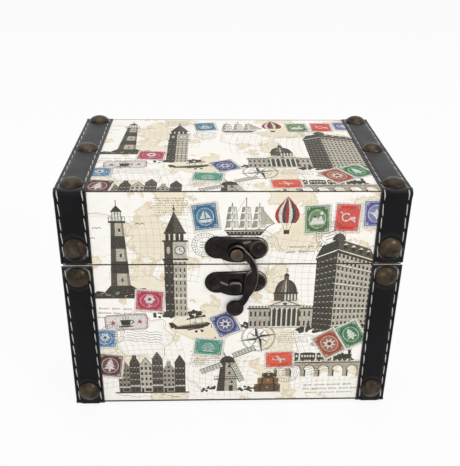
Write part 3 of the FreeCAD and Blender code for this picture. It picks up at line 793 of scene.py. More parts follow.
def plate_parts(node, tilt, highlight_streak, face):
    """A latch plate: pillowed, its two tack dishes ringed by raised lips, its lower edge bellied, with
    painted highlights toward its upper right and along one streak.
    """
    low, high = span(node)
    x, z = (low.x + high.x) / 2, high.z - PLATE_HALF
    belly = (BELLY_HALF ** 2 + PLATE_BELLY ** 2) / (2 * PLATE_BELLY)
    h, reach, flat = PLATE_HALF, PLATE_REACH, PLATE_SHOULDER
    corners = [(reach, 0, h, LEFT), (flat, h), (-flat, h, h, LEFT), (-reach, 0, h, LEFT), (-flat, -h),
               (-BELLY_HALF, -h, belly, LEFT), (0, -h - PLATE_BELLY, belly, LEFT), (BELLY_HALF, -h),
               (flat, -h, h, LEFT)]

    def dish_gap(u, v):
        return np.minimum(np.hypot(u - DISH_REACH, v), np.hypot(u + DISH_REACH, v))

    def front(u, v, gap):
        dish = dish_gap(u, v)
        body = PLATE_THICK + PLATE_PILLOW * smooth_step(11, 3, np.abs(u))
        lip = LIP_RISE * ridge(dish, DISH_LIP, 0.85)
        bowl = -DISH_DEPTH * smooth_step(5.4, 2.6, dish)
        height = (body + lip + bowl) * (0.25 + 0.75 * rounded(gap / PLATE_ROUND))
        return np.clip(height, *PLATE_LIMITS) + face

    points, faces, gap = relief(outline_points(corners), PLATE_SPACING, front, face)
    u, _, v = np.array(points).T
    # Painted highlights: on the dish lips and the outer edge, stronger toward the upper right.
    bright = smooth_step(2, 17, u + 1.2 * v)
    wear_and_highlight = bright * (0.3 * ridge(dish_gap(u, v), 5.8, 0.5) + 0.8 * ridge(gap, 0.6, 0.3))
    # Painted highlight: a bright streak between the two given points.
    start, end = np.array(highlight_streak)
    far = segment_gap(np.stack([u, v], axis=1), start[None], (end - start)[None])
    wear_and_highlight = np.maximum(wear_and_highlight, 0.85 * ridge(far, 0, 0.55))
    dishes = set_at([(side * DISH_REACH, -face, 0) for side in (-1, 1)], x, z, tilt)
    return (set_at(points, x, z, tilt), faces, np.clip(wear_and_highlight, 0, 1)), dishes


def post_part(face):
    """The catch post: a block with rounded corners and a rounded top."""
    low, high = span("catch_plate")
    x, z = (low.x + high.x) / 2 - POST_SHIFT, high.z - PLATE_HALF - POST_DROP
    w, h, r = POST_WIDE, POST_HIGH, POST_CORNER
    corners = [(w - r, -h, r, LEFT), (w, r - h), (w, h - r, r, LEFT), (w - r, h), (r - w, h, r, LEFT),
               (-w, h - r), (-w, r - h, r, LEFT), (r - w, -h)]

    def front(u, v, gap):
        return face + POST_SIDE + POST_ROUND * rounded(gap / 1.6) + POST_CROWN * smooth_step(0, 4, gap)

    points, faces, gap = relief(outline_points(corners), PLATE_SPACING, front, face + POST_REAR)
    u, _, v = np.array(points).T
    # Painted highlight on the edges toward the upper right.
    return set_at(points, x, z), faces, 0.55 * ridge(gap, 0.5, 0.5) * smooth_step(-2, 4, u * 0.6 + v)


def hook_part(x, z, face):
    """The swing hook: dished eye, rounded arm with faint wear on its edges and a painted highlight along its
    outer edge, and a ball at its tip.
    """
    arm = [(4.16, 4.16, 26.5, RIGHT), (15.2, -18.375, 25.99, RIGHT), (9.42, -34.39, 17.5, RIGHT),
           (3.19, -43.75), (-2.96, -40.06, 8.31, LEFT), (4.9, -30.83), (4.9, -21.04, 12.69, RIGHT),
           (9.58, -13.04, 11.0, LEFT), (4.16, -4.16)]
    ball_x, ball_z = -0.5, -43.75
    outline = united(outline_points(arm)[::-1], circle(0, 0, EYE_RADIUS), circle(ball_x, ball_z, BALL_RADIUS))

    def swell(u, v):
        share = np.hypot(u - ball_x, v - ball_z) / BALL_RADIUS
        return BALL_SWELL * np.sqrt(np.clip(1 - share ** 2, 0, 1))

    def front(u, v, gap):
        dish = EYE_DISH * smooth_step(5.5, 4.4, np.hypot(u, v))
        arm_top = HOOK_SIDE + HOOK_ROUND * rounded(gap) - dish
        return face + np.maximum(BALL_LEVEL + swell(u, v), arm_top)

    def back(u, v):
        return face + np.minimum(HOOK_REAR, BALL_LEVEL - swell(u, v))

    points, faces, gap = relief(outline, HOOK_SPACING, front, back)
    u, _, v = np.array(points).T
    # Painted highlight along the outer edge, faint wear on the inner edges, both fading out toward the ball.
    outer = smooth_step(2, 9, u + 0.3 * (v + 8))
    wear_and_highlight = (0.05 + 0.95 * outer) * ridge(gap, 0.3, 0.32) * smooth_step(-41, -30, v)
    return set_at(points, x, z), faces, np.clip(wear_and_highlight, 0, 1)


def add_latch(bronze, rivet_metal):
    """The two plates with their tacks, the catch post, the swing hook with its ball and the rivet."""
    face = -span("lid_front_cover")[0].y
    tack = [(2.1, 0.1), (2.2, 0.5), (2.1, 0.72)] + cap(1.9, 0.85, 1.35, 5)
    # Each plate's painted highlight streak runs between the two points given after its tilt.
    for node, tacks, body, tilt, highlight_streak, posts in (
            ("latch_plate", "latch_tacks", "lid", -1.4, ((4.6, 4.4), (8.6, 5.4)), []),
            ("catch_plate", "catch_tacks", "base", 1.8, ((-10.2, 0.6), (-6.0, -1.6)), [post_part(face)])):
        plate, dishes = plate_parts(node, tilt, highlight_streak, face)
        add_metal(node, [plate] + posts, body, bronze)
        add_metal(tacks, [turned(tack, dish, FRONT, 24) for dish in dishes], body, bronze)
    low, high = span("latch_rivet")
    x, z = (low.x + high.x) / 2, (low.z + high.z) / 2
    radius = (high.x - low.x) / 2
    crown = -low.y - face
    profile = [(1.5, 1.0), (1.5, crown - 1.3), (radius - 0.3, crown - 1.25), (radius, crown - 0.95),
               (radius - 0.15, crown - 0.6)] + cap(radius - 0.4, crown - 0.45, crown - 0.02, 6)
    points, faces = turned(profile, (x, -face, z - 0.35), FRONT, dent=RIVET_DENT)
    add_metal("latch_rivet", [(points, faces, [0.2] * len(points))], "lid", rivet_metal)
    add_metal("latch_hook", [hook_part(x, z, face)], "hook", bronze)


# The printed paper: pens and pictures

INK = (34, 30, 26)
MID = (88, 79, 66)
SHADE = (126, 115, 96)
PALE = (182, 171, 147)
LIGHT = (228, 220, 200)
WHITE = (246, 242, 232)
MITRE_LIMIT = 0.35


def warm(tone):
    """A warm grey ink of one lightness."""
    return (tone, tone - min(0.095 * tone, 12), tone - min(0.225 * tone, 33))


def blend(first, second, share):
    return tuple(a + (b - a) * share for a, b in zip(first, second))


def oblong(x, y, wide, high):
    return [(x, y), (x + wide, y), (x + wide, y + high), (x, y + high)]


def star(points, outer, inner, x=0.0):
    """A star's outline, one point upward."""
    return [polar(inner if i % 2 else outer, 90 + 180 / points * i, x) for i in range(2 * points)]


class Drawing:
    """Flat shapes in painting order: an outline in millimetres and an ink, or None for bare paper."""

    def __init__(self):
        self.shapes = []

    def fill(self, outline, ink):
        self.shapes.append((list(outline), ink))

    def box(self, x, y, wide, high, ink):
        self.fill(oblong(x, y, wide, high), ink)

    def row(self, x, step, count, y, wide, high, ink):
        """Boxes side by side."""
        for i in range(count):
            self.box(x + i * step, y, wide, high, ink)

    def line(self, points, width, ink):
        """A stroke of even width as one ribbon, mitred at its corners and closed if its ends meet."""
        closed = math.dist(points[0], points[-1]) < 1e-6
        count = len(points)
        left, right = [], []
        for i, (x, y) in enumerate(points):
            before = points[i - 1] if i else (points[-2] if closed else points[0])
            after = points[i + 1] if i < count - 1 else (points[1] if closed else points[-1])
            turns = [math.atan2(b[1] - a[1], b[0] - a[0]) for a, b in ((before, (x, y)), ((x, y), after))
                     if math.dist(a, b) > 1e-9]
            first, last = turns[0], turns[-1]
            half = ((last - first + math.pi) % (2 * math.pi) - math.pi) / 2
            reach = width / 2 / max(math.cos(half), MITRE_LIMIT)
            normal = first + half + math.pi / 2
            ox, oy = reach * math.cos(normal), reach * math.sin(normal)
            left.append((x + ox, y + oy))
            right.append((x - ox, y - oy))
        self.fill(right + left[::-1], ink)

    def upright(self, x, low, high, width, ink):
        self.line([(x, low), (x, high)], width, ink)

    def level(self, y, left, right, width, ink):
        self.line([(left, y), (right, y)], width, ink)

    def rails(self, x, step, count, low, high, width, ink):
        """Upright lines side by side."""
        for i in range(count):
            self.upright(x + i * step, low, high, width, ink)

    def rim(self, x, y, wide, high, width, ink):
        corners = oblong(x, y, wide, high)
        self.line(corners + corners[:1], width, ink)

    def oval(self, x, y, wide, high, ink, sides=10, stop=360):
        count = sides if stop == 360 else sides + 1
        turns = [math.radians(stop * i / sides) for i in range(count)]
        self.fill([(x + wide * math.cos(a), y + high * math.sin(a)) for a in turns], ink)

    def disc(self, x, y, radius, ink, sides=10):
        self.oval(x, y, radius, radius, ink, sides)

    def dome(self, x, y, wide, high, ink, sides=10):
        """The upper half of an oval."""
        self.oval(x, y, wide, high, ink, sides, 180)

    def arc(self, x, y, wide, high, start, stop, width, ink, steps):
        turns = [math.radians(start + (stop - start) * i / steps) for i in range(steps + 1)]
        self.line([(x + wide * math.cos(a), y + high * math.sin(a)) for a in turns], width, ink)

    def wall(self, corners, bays, floors, ink, window, share, skip=0):
        """A four-cornered wall with rows of windows in its own perspective."""
        (ax, ay), (bx, by), (cx, cy), (dx, dy) = corners
        self.fill(corners, ink)

        def spot(u, v):
            x = (ax * (1 - u) + bx * u) * (1 - v) + (dx * (1 - u) + cx * u) * v
            y = (ay * (1 - u) + by * u) * (1 - v) + (dy * (1 - u) + cy * u) * v
            return x, y

        def pane(u0, u1, v0, v1, tone):
            self.fill([spot(u0, v0), spot(u1, v0), spot(u1, v1), spot(u0, v1)], tone)

        for floor in range(skip, floors):
            for bay in range(bays):
                u0, u1 = [(bay + 0.5 + side * share[0] / 2) / bays for side in (-1, 1)]
                v0, v1 = [(floor + 0.5 + side * share[1] / 2) / floors for side in (-1, 1)]
                pane(u0, u1, v0, v1, blend(window, ink, random.uniform(0.0, 0.35)))
                pane(u0, u1, v0 - 0.13 / floors, v0, blend(ink, WHITE, 0.55))
        return spot

    def band(self, spot, level, depth, ink, reach=0.02):
        """A ledge along a wall at one level."""
        self.fill([spot(-reach, level), spot(1 + reach, level), spot(1 + reach, level + depth),
                   spot(-reach, level + depth)], ink)

    def leaves(self, x, y, wide, high, count):
        for _ in range(count):
            angle = random.uniform(0, math.pi)
            reach = math.sqrt(random.random())
            size = random.uniform(0.1, 0.2) * high + 0.35
            self.oval(x + wide * reach * math.cos(angle), y + high * reach * math.sin(angle),
                      size, size * 0.8, random.choice((INK, MID, warm(84))), 7)

    def paste(self, other, x, y, scale=1.0, angle=0.0):
        turn = math.radians(angle)
        c, s = math.cos(turn) * scale, math.sin(turn) * scale
        for outline, ink in other.shapes:
            self.fill([(x + c * px - s * py, y + s * px + c * py) for px, py in outline], ink)


# Buildings and vehicles, each standing on y = 0 about x = 0

def corner_hotel():
    d = Drawing()
    d.leaves(-14, 0.5, 9, 6, 26)
    d.leaves(17, 0.5, 8, 5, 22)
    a = d.wall([(-15, 2.2), (-4, 0), (-4, 52), (-15, 47.5)], 5, 13, warm(96), INK, (0.5, 0.55))
    b = d.wall([(-4, 0), (16, 2.6), (16, 45.5), (-4, 52)], 9, 13, PALE, warm(70), (0.48, 0.56))
    for level in (0.075, 0.3, 0.61, 0.84):
        d.band(a, level, 0.014, warm(88))
        d.band(b, level, 0.014, LIGHT)
        d.band(b, level - 0.008, 0.008, MID)
    d.band(a, 0.985, 0.03, INK, 0.05)
    d.band(b, 0.985, 0.03, warm(84), 0.03)
    d.fill([(-15.6, 48.4), (-4, 53.4), (-4, 59.5), (-12.6, 55.2)], warm(78))
    d.fill([(-4, 53.4), (16.6, 46.6), (13.4, 53.4), (-4, 59.5)], SHADE)
    for i in range(4):
        x, y = -1 + i * 4.1, 53.3 - i * 1.42
        d.box(x, y, 1.9, 2.6, warm(70))
        d.fill([(x - 0.4, y + 2.6), (x + 2.3, y + 2.6), (x + 0.95, y + 3.9)], LIGHT)
    d.dome(-4, 58.6, 3.5, 4.2, warm(92), 18)
    d.dome(-3.1, 58.6, 2.0, 3.7, SHADE, 14)
    d.box(-4.5, 62.4, 1.0, 2.2, INK)
    d.upright(-4, 64, 69, 0.35, INK)
    d.fill([(-4, 69), (-0.6, 68.2), (-4, 67.2)], MID)
    for i in range(6):
        d.box(-1.9 + i * 2.9, 0.9 + i * 0.34, 1.7, 2.5, INK)
        d.dome(-1.05 + i * 2.9, 3.4 + i * 0.34, 0.85, 0.8, INK, 8)
    return d


def clock_tower():
    d = Drawing()
    d.leaves(-7, 0, 7, 4.4, 20)
    d.leaves(8, 0, 8, 5, 22)
    a = d.wall([(-6.5, 0), (-1.2, 0), (-1.2, 38), (-6.5, 38)], 2, 9, warm(98), INK, (0.34, 0.6))
    b = d.wall([(-1.2, 0), (6, 0), (6, 38), (-1.2, 38)], 3, 9, PALE, warm(78), (0.32, 0.6))
    for level in (0.0, 0.33, 0.67, 0.97):
        d.band(a, level, 0.03, warm(70), 0.06)
        d.band(b, level, 0.03, LIGHT, 0.04)
    d.box(-7.4, 38, 14.4, 1.1, INK)
    d.box(-6.2, 39.1, 4.8, 10.4, warm(104))
    d.box(-1.4, 39.1, 7.4, 10.4, warm(188))
    d.disc(2.3, 44.2, 2.9, INK, 20)
    d.disc(2.3, 44.2, 2.4, WHITE, 20)
    d.upright(2.3, 44.2, 46, 0.4, INK)
    d.line([(2.3, 44.2), (3.7, 43.4)], 0.4, INK)
    d.oval(-3.9, 44.2, 1.3, 2.9, INK, 16)
    d.oval(-3.9, 44.2, 1.0, 2.4, PALE, 16)
    d.box(-7.2, 49.5, 14, 1.0, INK)
    for x in (-5.4, -2.9, 0.1, 2.6):
        d.box(x, 50.5, 2.0, 4.2, warm(120))
        d.box(x + 0.55, 50.5, 1.1, 3.3, INK)
    d.box(-6.2, 54.4, 12.2, 0.9, warm(84))
    d.fill([(-5.8, 55.3), (-0.6, 55.3), (-0.4, 68)], warm(80))
    d.fill([(-0.6, 55.3), (5.6, 55.3), (-0.4, 68)], SHADE)
    for y in (57.5, 59.5, 61.5, 63.5):
        share = (68 - y) / 12.7
        d.level(y, -0.4 - 5.3 * share, -0.4 + 5.9 * share, 0.25, INK)
    d.upright(-0.4, 67.5, 72, 0.4, INK)
    d.disc(-0.4, 69.6, 0.7, INK, 8)
    return d


def town_hall():
    d = Drawing()
    d.leaves(-24, 0, 8, 5, 22)
    d.leaves(24, 0, 8, 5, 22)
    d.wall(oblong(-22, 0, 14, 14), 5, 2, warm(176), INK, (0.4, 0.55))
    d.wall(oblong(8, 0, 14, 14), 5, 2, PALE, warm(74), (0.4, 0.55))
    d.box(-23, 14, 46, 1.1, MID)
    d.box(-22.4, 15.1, 44.8, 1.6, LIGHT)
    d.row(-21.9, 1.93, 23, 15.3, 0.9, 1.1, MID)
    d.box(-9, 0, 18, 16, warm(92))
    for i in range(6):
        x = -8.4 + i * 3.05
        d.box(x, 1.6, 1.35, 12.6, LIGHT)
        d.box(x + 0.85, 1.6, 0.5, 12.6, SHADE)
        d.box(x - 0.3, 14.0, 1.95, 0.8, WHITE)
    d.box(-10, 0, 20, 0.8, PALE)
    d.box(-9.6, 0.8, 19.2, 0.8, LIGHT)
    d.box(-10, 14.8, 20, 1.4, PALE)
    d.fill([(-10.6, 16.2), (10.6, 16.2), (0, 21)], MID)
    d.fill([(-8.2, 16.8), (8.2, 16.8), (0, 20.2)], LIGHT)
    d.oval(0, 17.9, 1.3, 1.0, SHADE, 12)
    d.box(-7, 20, 14, 5.4, warm(120))
    for i in range(7):
        d.box(-6.5 + i * 1.95, 20.4, 0.95, 4.4, LIGHT if i > 2 else SHADE)
    d.box(-7.6, 25.2, 15.2, 0.9, INK)
    d.dome(0, 26, 6.7, 9.2, warm(96), 28)
    for i, tone in enumerate((warm(122), warm(150), PALE, SHADE, warm(112))):
        a, b = -4.7 + i * 1.9, -3.4 + i * 1.9
        d.fill([(a * 1.2, 26.2), (b * 1.2, 26.2), (b * 0.75, 32), (b * 0.25, 34.8), (a * 0.25, 34.8),
                (a * 0.75, 32)], tone)
    d.box(-1.4, 34.8, 2.8, 2.8, warm(128))
    d.dome(0, 37.6, 1.6, 1.6, INK, 12)
    d.upright(0, 39, 43, 0.4, INK)
    return d


def canal_houses():
    d = Drawing()
    x = -24.0
    houses = ((8.4, 22, 150), (7.2, 27, 112), (9.0, 24, 186), (7.6, 29, 128), (8.6, 21, 168), (7.4, 26, 100))
    for i, (wide, high, tone) in enumerate(houses):
        ink = warm(tone)
        wall = d.wall(oblong(x, 0, wide, high), 3, 5, ink, INK, (0.5, 0.55), 1)
        d.band(wall, 0.19, 0.03, LIGHT)
        d.box(x + 0.8, 0, 1.7, 3.6, INK)
        d.box(x + 3.4, 0.8, wide - 4.4, 2.6, warm(66))
        middle = x + wide / 2
        if i % 3 == 0:
            for step in range(4):
                half = wide / 2 * (1 - step / 4)
                d.box(middle - half, high + step * 1.7, 2 * half, 1.7, ink)
                d.level(high + 1.7 + step * 1.7, middle - half, middle + half, 0.3, INK)
        elif i % 3 == 1:
            d.fill([(x, high), (x + wide, high), (middle + 1.6, high + 4), (middle + 1.6, high + 6.4),
                    (middle - 1.6, high + 6.4), (middle - 1.6, high + 4)], ink)
            d.dome(middle, high + 6.4, 1.9, 1.3, LIGHT, 12)
        else:
            d.fill([(x, high), (x + wide, high), (middle, high + 7)], ink)
            d.line([(x - 0.3, high), (middle, high + 7.2), (x + wide + 0.3, high)], 0.5, INK)
        d.disc(middle, high + 1.6, 0.9, INK)
        d.upright(x + wide, 0, high, 0.35, INK)
        x += wide
    d.box(-27, -1.2, 54, 1.2, warm(84))
    for i in range(16):
        start = -26 + i * 3.3 + random.uniform(-0.8, 0.8)
        y = -2.0 - random.uniform(0, 3.2)
        d.level(y, start, start + random.uniform(2, 5), 0.3, MID)
    return d


def lighthouse():
    d = Drawing()
    d.fill([(-15, 0), (-11, 4.2), (-7.5, 3.6), (-4.5, 7.2), (4, 7.6), (7.5, 5.2), (11, 5.6), (17, 0)],
           warm(88))
    for _ in range(46):
        x = random.uniform(-12, 13)
        y = random.uniform(0.3, 5.5 - abs(x) * 0.28)
        d.line([(x, y), (x + random.uniform(0.8, 2.4), y + random.uniform(-0.9, 0.9))], 0.35,
               random.choice((INK, PALE, SHADE)))
    for i in range(5):
        tone = warm(92) if i % 2 else PALE
        low, high = 7 + i * 6.4, 7 + (i + 1) * 6.4
        a, b = 4.5 - 0.36 * i, 4.5 - 0.36 * (i + 1)
        for left, right, dark in ((-1, 1, 0), (-1, -0.35, 0.45), (0.7, 1, 0.2)):
            d.fill([(a * left, low), (a * right, low), (b * right, high), (b * left, high)],
                   blend(tone, INK, dark))
        d.box(0.4, low + 2.1, 0.9, 1.7, INK)
    d.box(-3.7, 39, 7.4, 1.0, INK)
    d.rails(-3.5, 1.17, 7, 40, 42, 0.25, INK)
    d.level(42, -3.6, 3.6, 0.3, INK)
    d.box(-2, 40, 4, 4.4, LIGHT)
    for x in (-2, -0.75, 0.55, 1.8):
        d.box(x, 40, 0.3, 4.4, INK)
    d.fill([(-2.7, 44.4), (2.7, 44.4), (0, 47.6)], warm(74))
    d.upright(0, 47, 50, 0.35, INK)
    for i in range(7):
        d.arc(-18 + i * 5.3, 0, 2.6, 0.8, 10, 170, 0.3, MID, 6)
    for x, y in ((-9, 36), (-12, 31), (10, 38)):
        for wing in (-1, 1):
            d.arc(x + wing, y, 1.0, 0.8, 20, 160, 0.3, INK, 5)
    return d


def windmill():
    d = Drawing()
    d.leaves(-9, 0, 6, 3.4, 16)
    d.leaves(10, 0, 7, 3.8, 18)
    d.fill([(-6.2, 0), (6.2, 0), (3.8, 21), (-3.8, 21)], PALE)
    d.fill([(-6.2, 0), (-1.6, 0), (-1.0, 21), (-3.8, 21)], MID)
    for course in range(1, 14):
        half = 6.2 - 2.4 * course / 14
        d.level(course * 1.5, -half, half, 0.2, SHADE)
    d.box(-7.6, 8.4, 15.2, 0.8, INK)
    d.rails(-7.4, 1.48, 11, 9.2, 10.8, 0.22, INK)
    d.level(10.8, -7.5, 7.5, 0.28, INK)
    d.box(1.0, 0, 2.2, 4.2, INK)
    for x, y in ((0.6, 12.2), (2.0, 5.8), (-3.4, 13.5), (0.4, 17)):
        d.box(x, y, 1.2, 1.8, INK)
    d.dome(0, 21, 4.2, 4.2, warm(84), 18)
    d.box(-4.5, 20.4, 9, 0.8, INK)
    sail = Drawing()
    sail.level(0, 0, 17.5, 0.6, INK)
    sail.box(4, 0.2, 13, 3.0, LIGHT)
    sail.rails(4, 1.857, 8, 0, 3.3, 0.28, INK)
    for y in (1.1, 2.2, 3.2):
        sail.level(y, 4, 17, 0.25, INK)
    for turn in range(4):
        d.paste(sail, 0, 22.4, 1, 24 + 90 * turn)
    d.disc(0, 22.4, 1.0, INK)
    return d


def viaduct():
    d = Drawing()
    d.box(-31, 0, 62, 13, PALE)
    for course in range(8):
        d.level(1.2 + course * 1.5, -31, 31, 0.18, SHADE)
    for i in range(6):
        x = -26 + i * 10.4
        d.box(x - 3.7, -0.2, 7.4, 6.4, None)
        d.dome(x, 6.2, 3.7, 3.9, None, 18)
        d.box(x - 3.7, 0, 1.1, 6.2, warm(92))
        d.arc(x, 6.2, 4.0, 4.2, 0, 180, 0.6, MID, 12)
    d.box(-31.5, 12.4, 63, 1.0, warm(92))
    d.rails(-30.5, 2.03, 31, 13.4, 14.6, 0.25, MID)
    d.level(14.6, -31, 31, 0.3, MID)
    for i in range(3):
        x = -24.5 + i * 12
        d.box(x, 15.2, 11, 5.6, warm(92))
        d.dome(x + 5.5, 20.8, 5.8, 1.0, INK, 14)
        d.row(x + 0.8, 2.02, 5, 17.6, 1.3, 1.9, LIGHT)
        for wheel in (2, 9):
            d.disc(x + wheel, 14.9, 0.9, INK)
    d.box(11.6, 15.2, 3.4, 6.6, warm(66))
    d.box(11.2, 21.6, 4.4, 0.8, INK)
    d.box(12.4, 18.6, 1.7, 1.9, LIGHT)
    d.box(15, 15.8, 9.6, 4.4, INK)
    d.box(15, 18.8, 9.6, 0.7, MID)
    d.fill([(22.2, 20), (23.8, 20), (24.3, 24), (21.7, 24)], INK)
    d.dome(18, 20.2, 1.1, 1.3, warm(74))
    d.fill([(24.6, 14.8), (27.4, 14.8), (24.6, 17)], INK)
    for x, size in ((12.8, 0.9), (16.6, 1.45), (20.2, 1.45), (23.6, 0.9)):
        d.disc(x, 13.9 + size, size, INK, 12)
        d.disc(x, 13.9 + size, size * 0.55, SHADE)
    for i in range(11):
        d.oval(21.6 - i * 2.5, 25.6 + 1.1 * math.sin(i * 0.8) + i * 0.25, 1.4 + i * 0.13, 1.1 + i * 0.1,
               random.choice((LIGHT, PALE, (214, 205, 188))))
    return d


def tall_ship():
    d = Drawing()
    d.fill([(-14, 4.4), (13.5, 4.6), (16.5, 7), (11.5, 0), (-11, 0)], warm(74))
    d.line([(-13.6, 3.2), (14, 3.6)], 0.5, LIGHT)
    d.row(-10.4, 2.5, 9, 1.6, 0.9, 0.9, PALE)
    d.line([(15, 6.4), (21, 9.6)], 0.5, INK)
    for x, top in ((-8.5, 25), (1, 29), (10, 25)):
        d.upright(x, 4, top, 0.5, INK)
        for foot, half, rise in ((5.8, 4.6, 5.4), (12, 4.0, 4.8), (17.6, 3.1, 4.2)):
            head = foot + rise
            sail = [(x - half, foot), (x - half * 0.4, foot + 0.7), (x + half, foot), (x + half * 0.82, head),
                    (x - half * 0.82, head)]
            d.fill(sail, LIGHT)
            d.fill([sail[0], (x - half * 0.3, foot + 0.6), (x - half * 0.3, head), sail[4]], warm(166))
            d.line([sail[0], sail[4], sail[3], sail[2]], 0.25, INK)
            d.line([(x + half * 0.4, foot + 0.4), (x + half * 0.34, head)], 0.2, SHADE)
    d.fill([(11, 8), (20.6, 9.3), (10.6, 22)], PALE)
    d.line([(10.6, 22), (20.6, 9.3)], 0.25, INK)
    d.line([(-8.5, 25), (-13.6, 4.6)], 0.22, INK)
    d.line([(1, 29), (-8.5, 12)], 0.18, MID)
    for i in range(14):
        d.arc(-20 + i * 2.9, -0.8 - (i % 3) * 0.9, 1.7, 0.5, 0, 180, 0.28, MID, 6)
    return d


def balloon():
    d = Drawing()
    stripes = ((178, 52, 44), (232, 220, 194), (70, 92, 120))
    gores, steps = 7, 8

    def seam(side):
        """One seam from the neck up to the crown."""
        points = []
        for j in range(steps + 1):
            t = j / steps
            wide = max(8 * math.sin(math.pi * (0.18 + 0.82 * t) ** 0.8), 0.6) if t < 1 else 0.05
            points.append((side * wide, 8 + 19 * t))
        return points

    seams = [seam(-1 + 2 * i / gores) for i in range(gores + 1)]
    for i in range(gores):
        d.fill(seams[i] + seams[i + 1][::-1], stripes[i % 3])
    d.line([(-1.7, 3), (-3.6, 9)], 0.22, INK)
    d.line([(1.7, 3), (3.6, 9)], 0.22, INK)
    d.upright(0, 3, 9, 0.18, INK)
    d.box(-1.9, 0, 3.8, 3, (104, 80, 56))
    d.level(2.8, -1.9, 1.9, 0.5, INK)
    return d


def trunk_pile():
    d = Drawing()
    for x, y, wide, high, tone in ((-12, 0, 24, 9, (122, 88, 60)), (-9, 9.3, 19, 7, (150, 112, 72)),
                                   (-5, 16.6, 12, 5.4, (96, 84, 70))):
        d.box(x, y, wide, high, tone)
        d.box(x, y + high * 0.58, wide, 0.5, INK)
        for share in (0.18, 0.74):
            d.box(x + wide * share, y, wide * 0.08, high, (70, 50, 36))
        for left in (x, x + wide - 1.6):
            for low in (y, y + high - 1.6):
                d.box(left, low, 1.6, 1.6, (176, 150, 104))
        d.box(x + wide / 2 - 1, y + high * 0.5, 2, 1.5, (196, 172, 122))
        d.rim(x, y, wide, high, 0.35, INK)
    d.arc(1, 22, 2.4, 1.6, 0, 180, 0.6, INK, 8)
    return d


def biplane():
    d = Drawing()
    d.fill([(-11, 4.6), (-10, 6.6), (8, 7.0), (10.2, 5.6), (8, 3.8), (-4, 3.6)], (84, 77, 68))
    d.line([(-10, 6.2), (8, 6.4)], 0.5, PALE)
    d.fill([(-12.4, 5.2), (-13.4, 9.4), (-11, 9.2), (-8.6, 6.2)], warm(72))
    d.fill([(-3, 9.8), (6.8, 10.6), (6.8, 11.4), (-3, 10.8)], INK)
    d.fill([(-3.6, 2.6), (6.2, 3.2), (6.2, 4.0), (-3.6, 3.4)], INK)
    for x in (-1.6, 1.6, 5.2):
        d.line([(x, 3.4), (x + 0.6, 10.8)], 0.25, INK)
    d.dome(1.2, 7.2, 1.2, 1.0, PALE)
    d.upright(10.4, 2.4, 8.8, 0.4, INK)
    for x in (1.2, 4.6):
        d.line([(3, 3.2), (x, 1.4)], 0.3, INK)
        d.disc(x, 1.2, 0.9, INK)
    return d


def compass_rose():
    d = Drawing()
    for radius, width in ((11, 0.3), (10.2, 0.2), (7.2, 0.25)):
        d.arc(0, 0, radius, radius, 0, 360, width, MID, 36)
    for i in range(72):
        inner, outer = (10.3, 11.0) if i % 2 else (10.2, 11.6)
        d.line([polar(inner, i * 5), polar(outer, i * 5)], 0.2, MID)
    for long, turn, tone in ((7.6, 45, SHADE), (13, 0, warm(92))):
        for angle in range(turn, turn + 360, 90):
            for side, ink in ((45, tone), (-45, LIGHT)):
                d.fill([(0, 0), polar(long * 0.2, angle + side), polar(long, angle)], ink)
            d.line([(0, 0), polar(long, angle)], 0.2, INK)
    d.disc(0, 0, 1.1, INK, 12)
    return d


def sign_board():
    """An enamel sign with a cup on it instead of words."""
    d = Drawing()
    red = (176, 58, 62)
    edge = [(-16, -5), (-14, -7), (14, -7), (16, -5), (16, 5), (14, 7), (-14, 7), (-16, 5)]
    d.fill(edge, red)
    d.fill([(x * 0.965, y * 0.92) for x, y in edge], WHITE)
    d.line([(x * 0.92, y * 0.82) for x, y in edge + edge[:1]], 0.25, red)
    d.fill([(-4.5, 2.2), (3.5, 2.2), (2.6, -2.6), (-3.6, -2.6)], INK)
    d.arc(3.6, 0.3, 1.9, 1.5, -100, 100, 0.7, INK, 10)
    d.oval(-0.5, -3.6, 5.6, 0.8, INK, 16)
    for x in (-2.4, -0.4, 1.6):
        d.line([(x, 3.0), (x + 0.6, 3.8), (x, 4.6), (x + 0.6, 5.4)], 0.35, MID)
    for x in (-10, 10):
        d.fill(star(5, 2.4, 1.0, x), red)
    return d


# Stamps, postmarks and writing

PERFORATION = 1.35
NOTCH = ((0.0, 0.0), (0.22, 0.0), (0.4, 0.34), (0.66, 0.34), (0.84, 0.0))
STAMP_LINES = 0.75
EMBLEMS = {
    "boat": ([(-3.4, -1.6), (3.4, -1.6), (2.2, -3.2), (-2.4, -3.2)], [(-0.2, -1), (-0.2, 3.6), (-2.9, -1)],
             [(0.4, -1), (0.4, 3.0), (2.8, -1)]),
    "bird": ([(-4, 1.0), (-1, 0.6), (0, 2.8), (1.2, 0.4), (3.8, -0.2), (1.2, -1.0), (-1, -1.6), (-2, -0.4)],
             [(-0.8, -1.2), (0.2, -3.6), (1.4, -0.9)]),
    "plane": ([(-4.2, -0.4), (3.6, 0.9), (4.4, 0.2), (3.4, -0.5)],
              [(-0.4, 0), (-2.2, 3.4), (-1.2, 3.4), (1.6, 0.3)],
              [(0.0, 0), (0.4, -2.8), (1.2, -2.8), (1.8, 0.3)],
              [(-4, -0.3), (-4.8, 1.5), (-4.1, 1.5), (-3, 0)])}


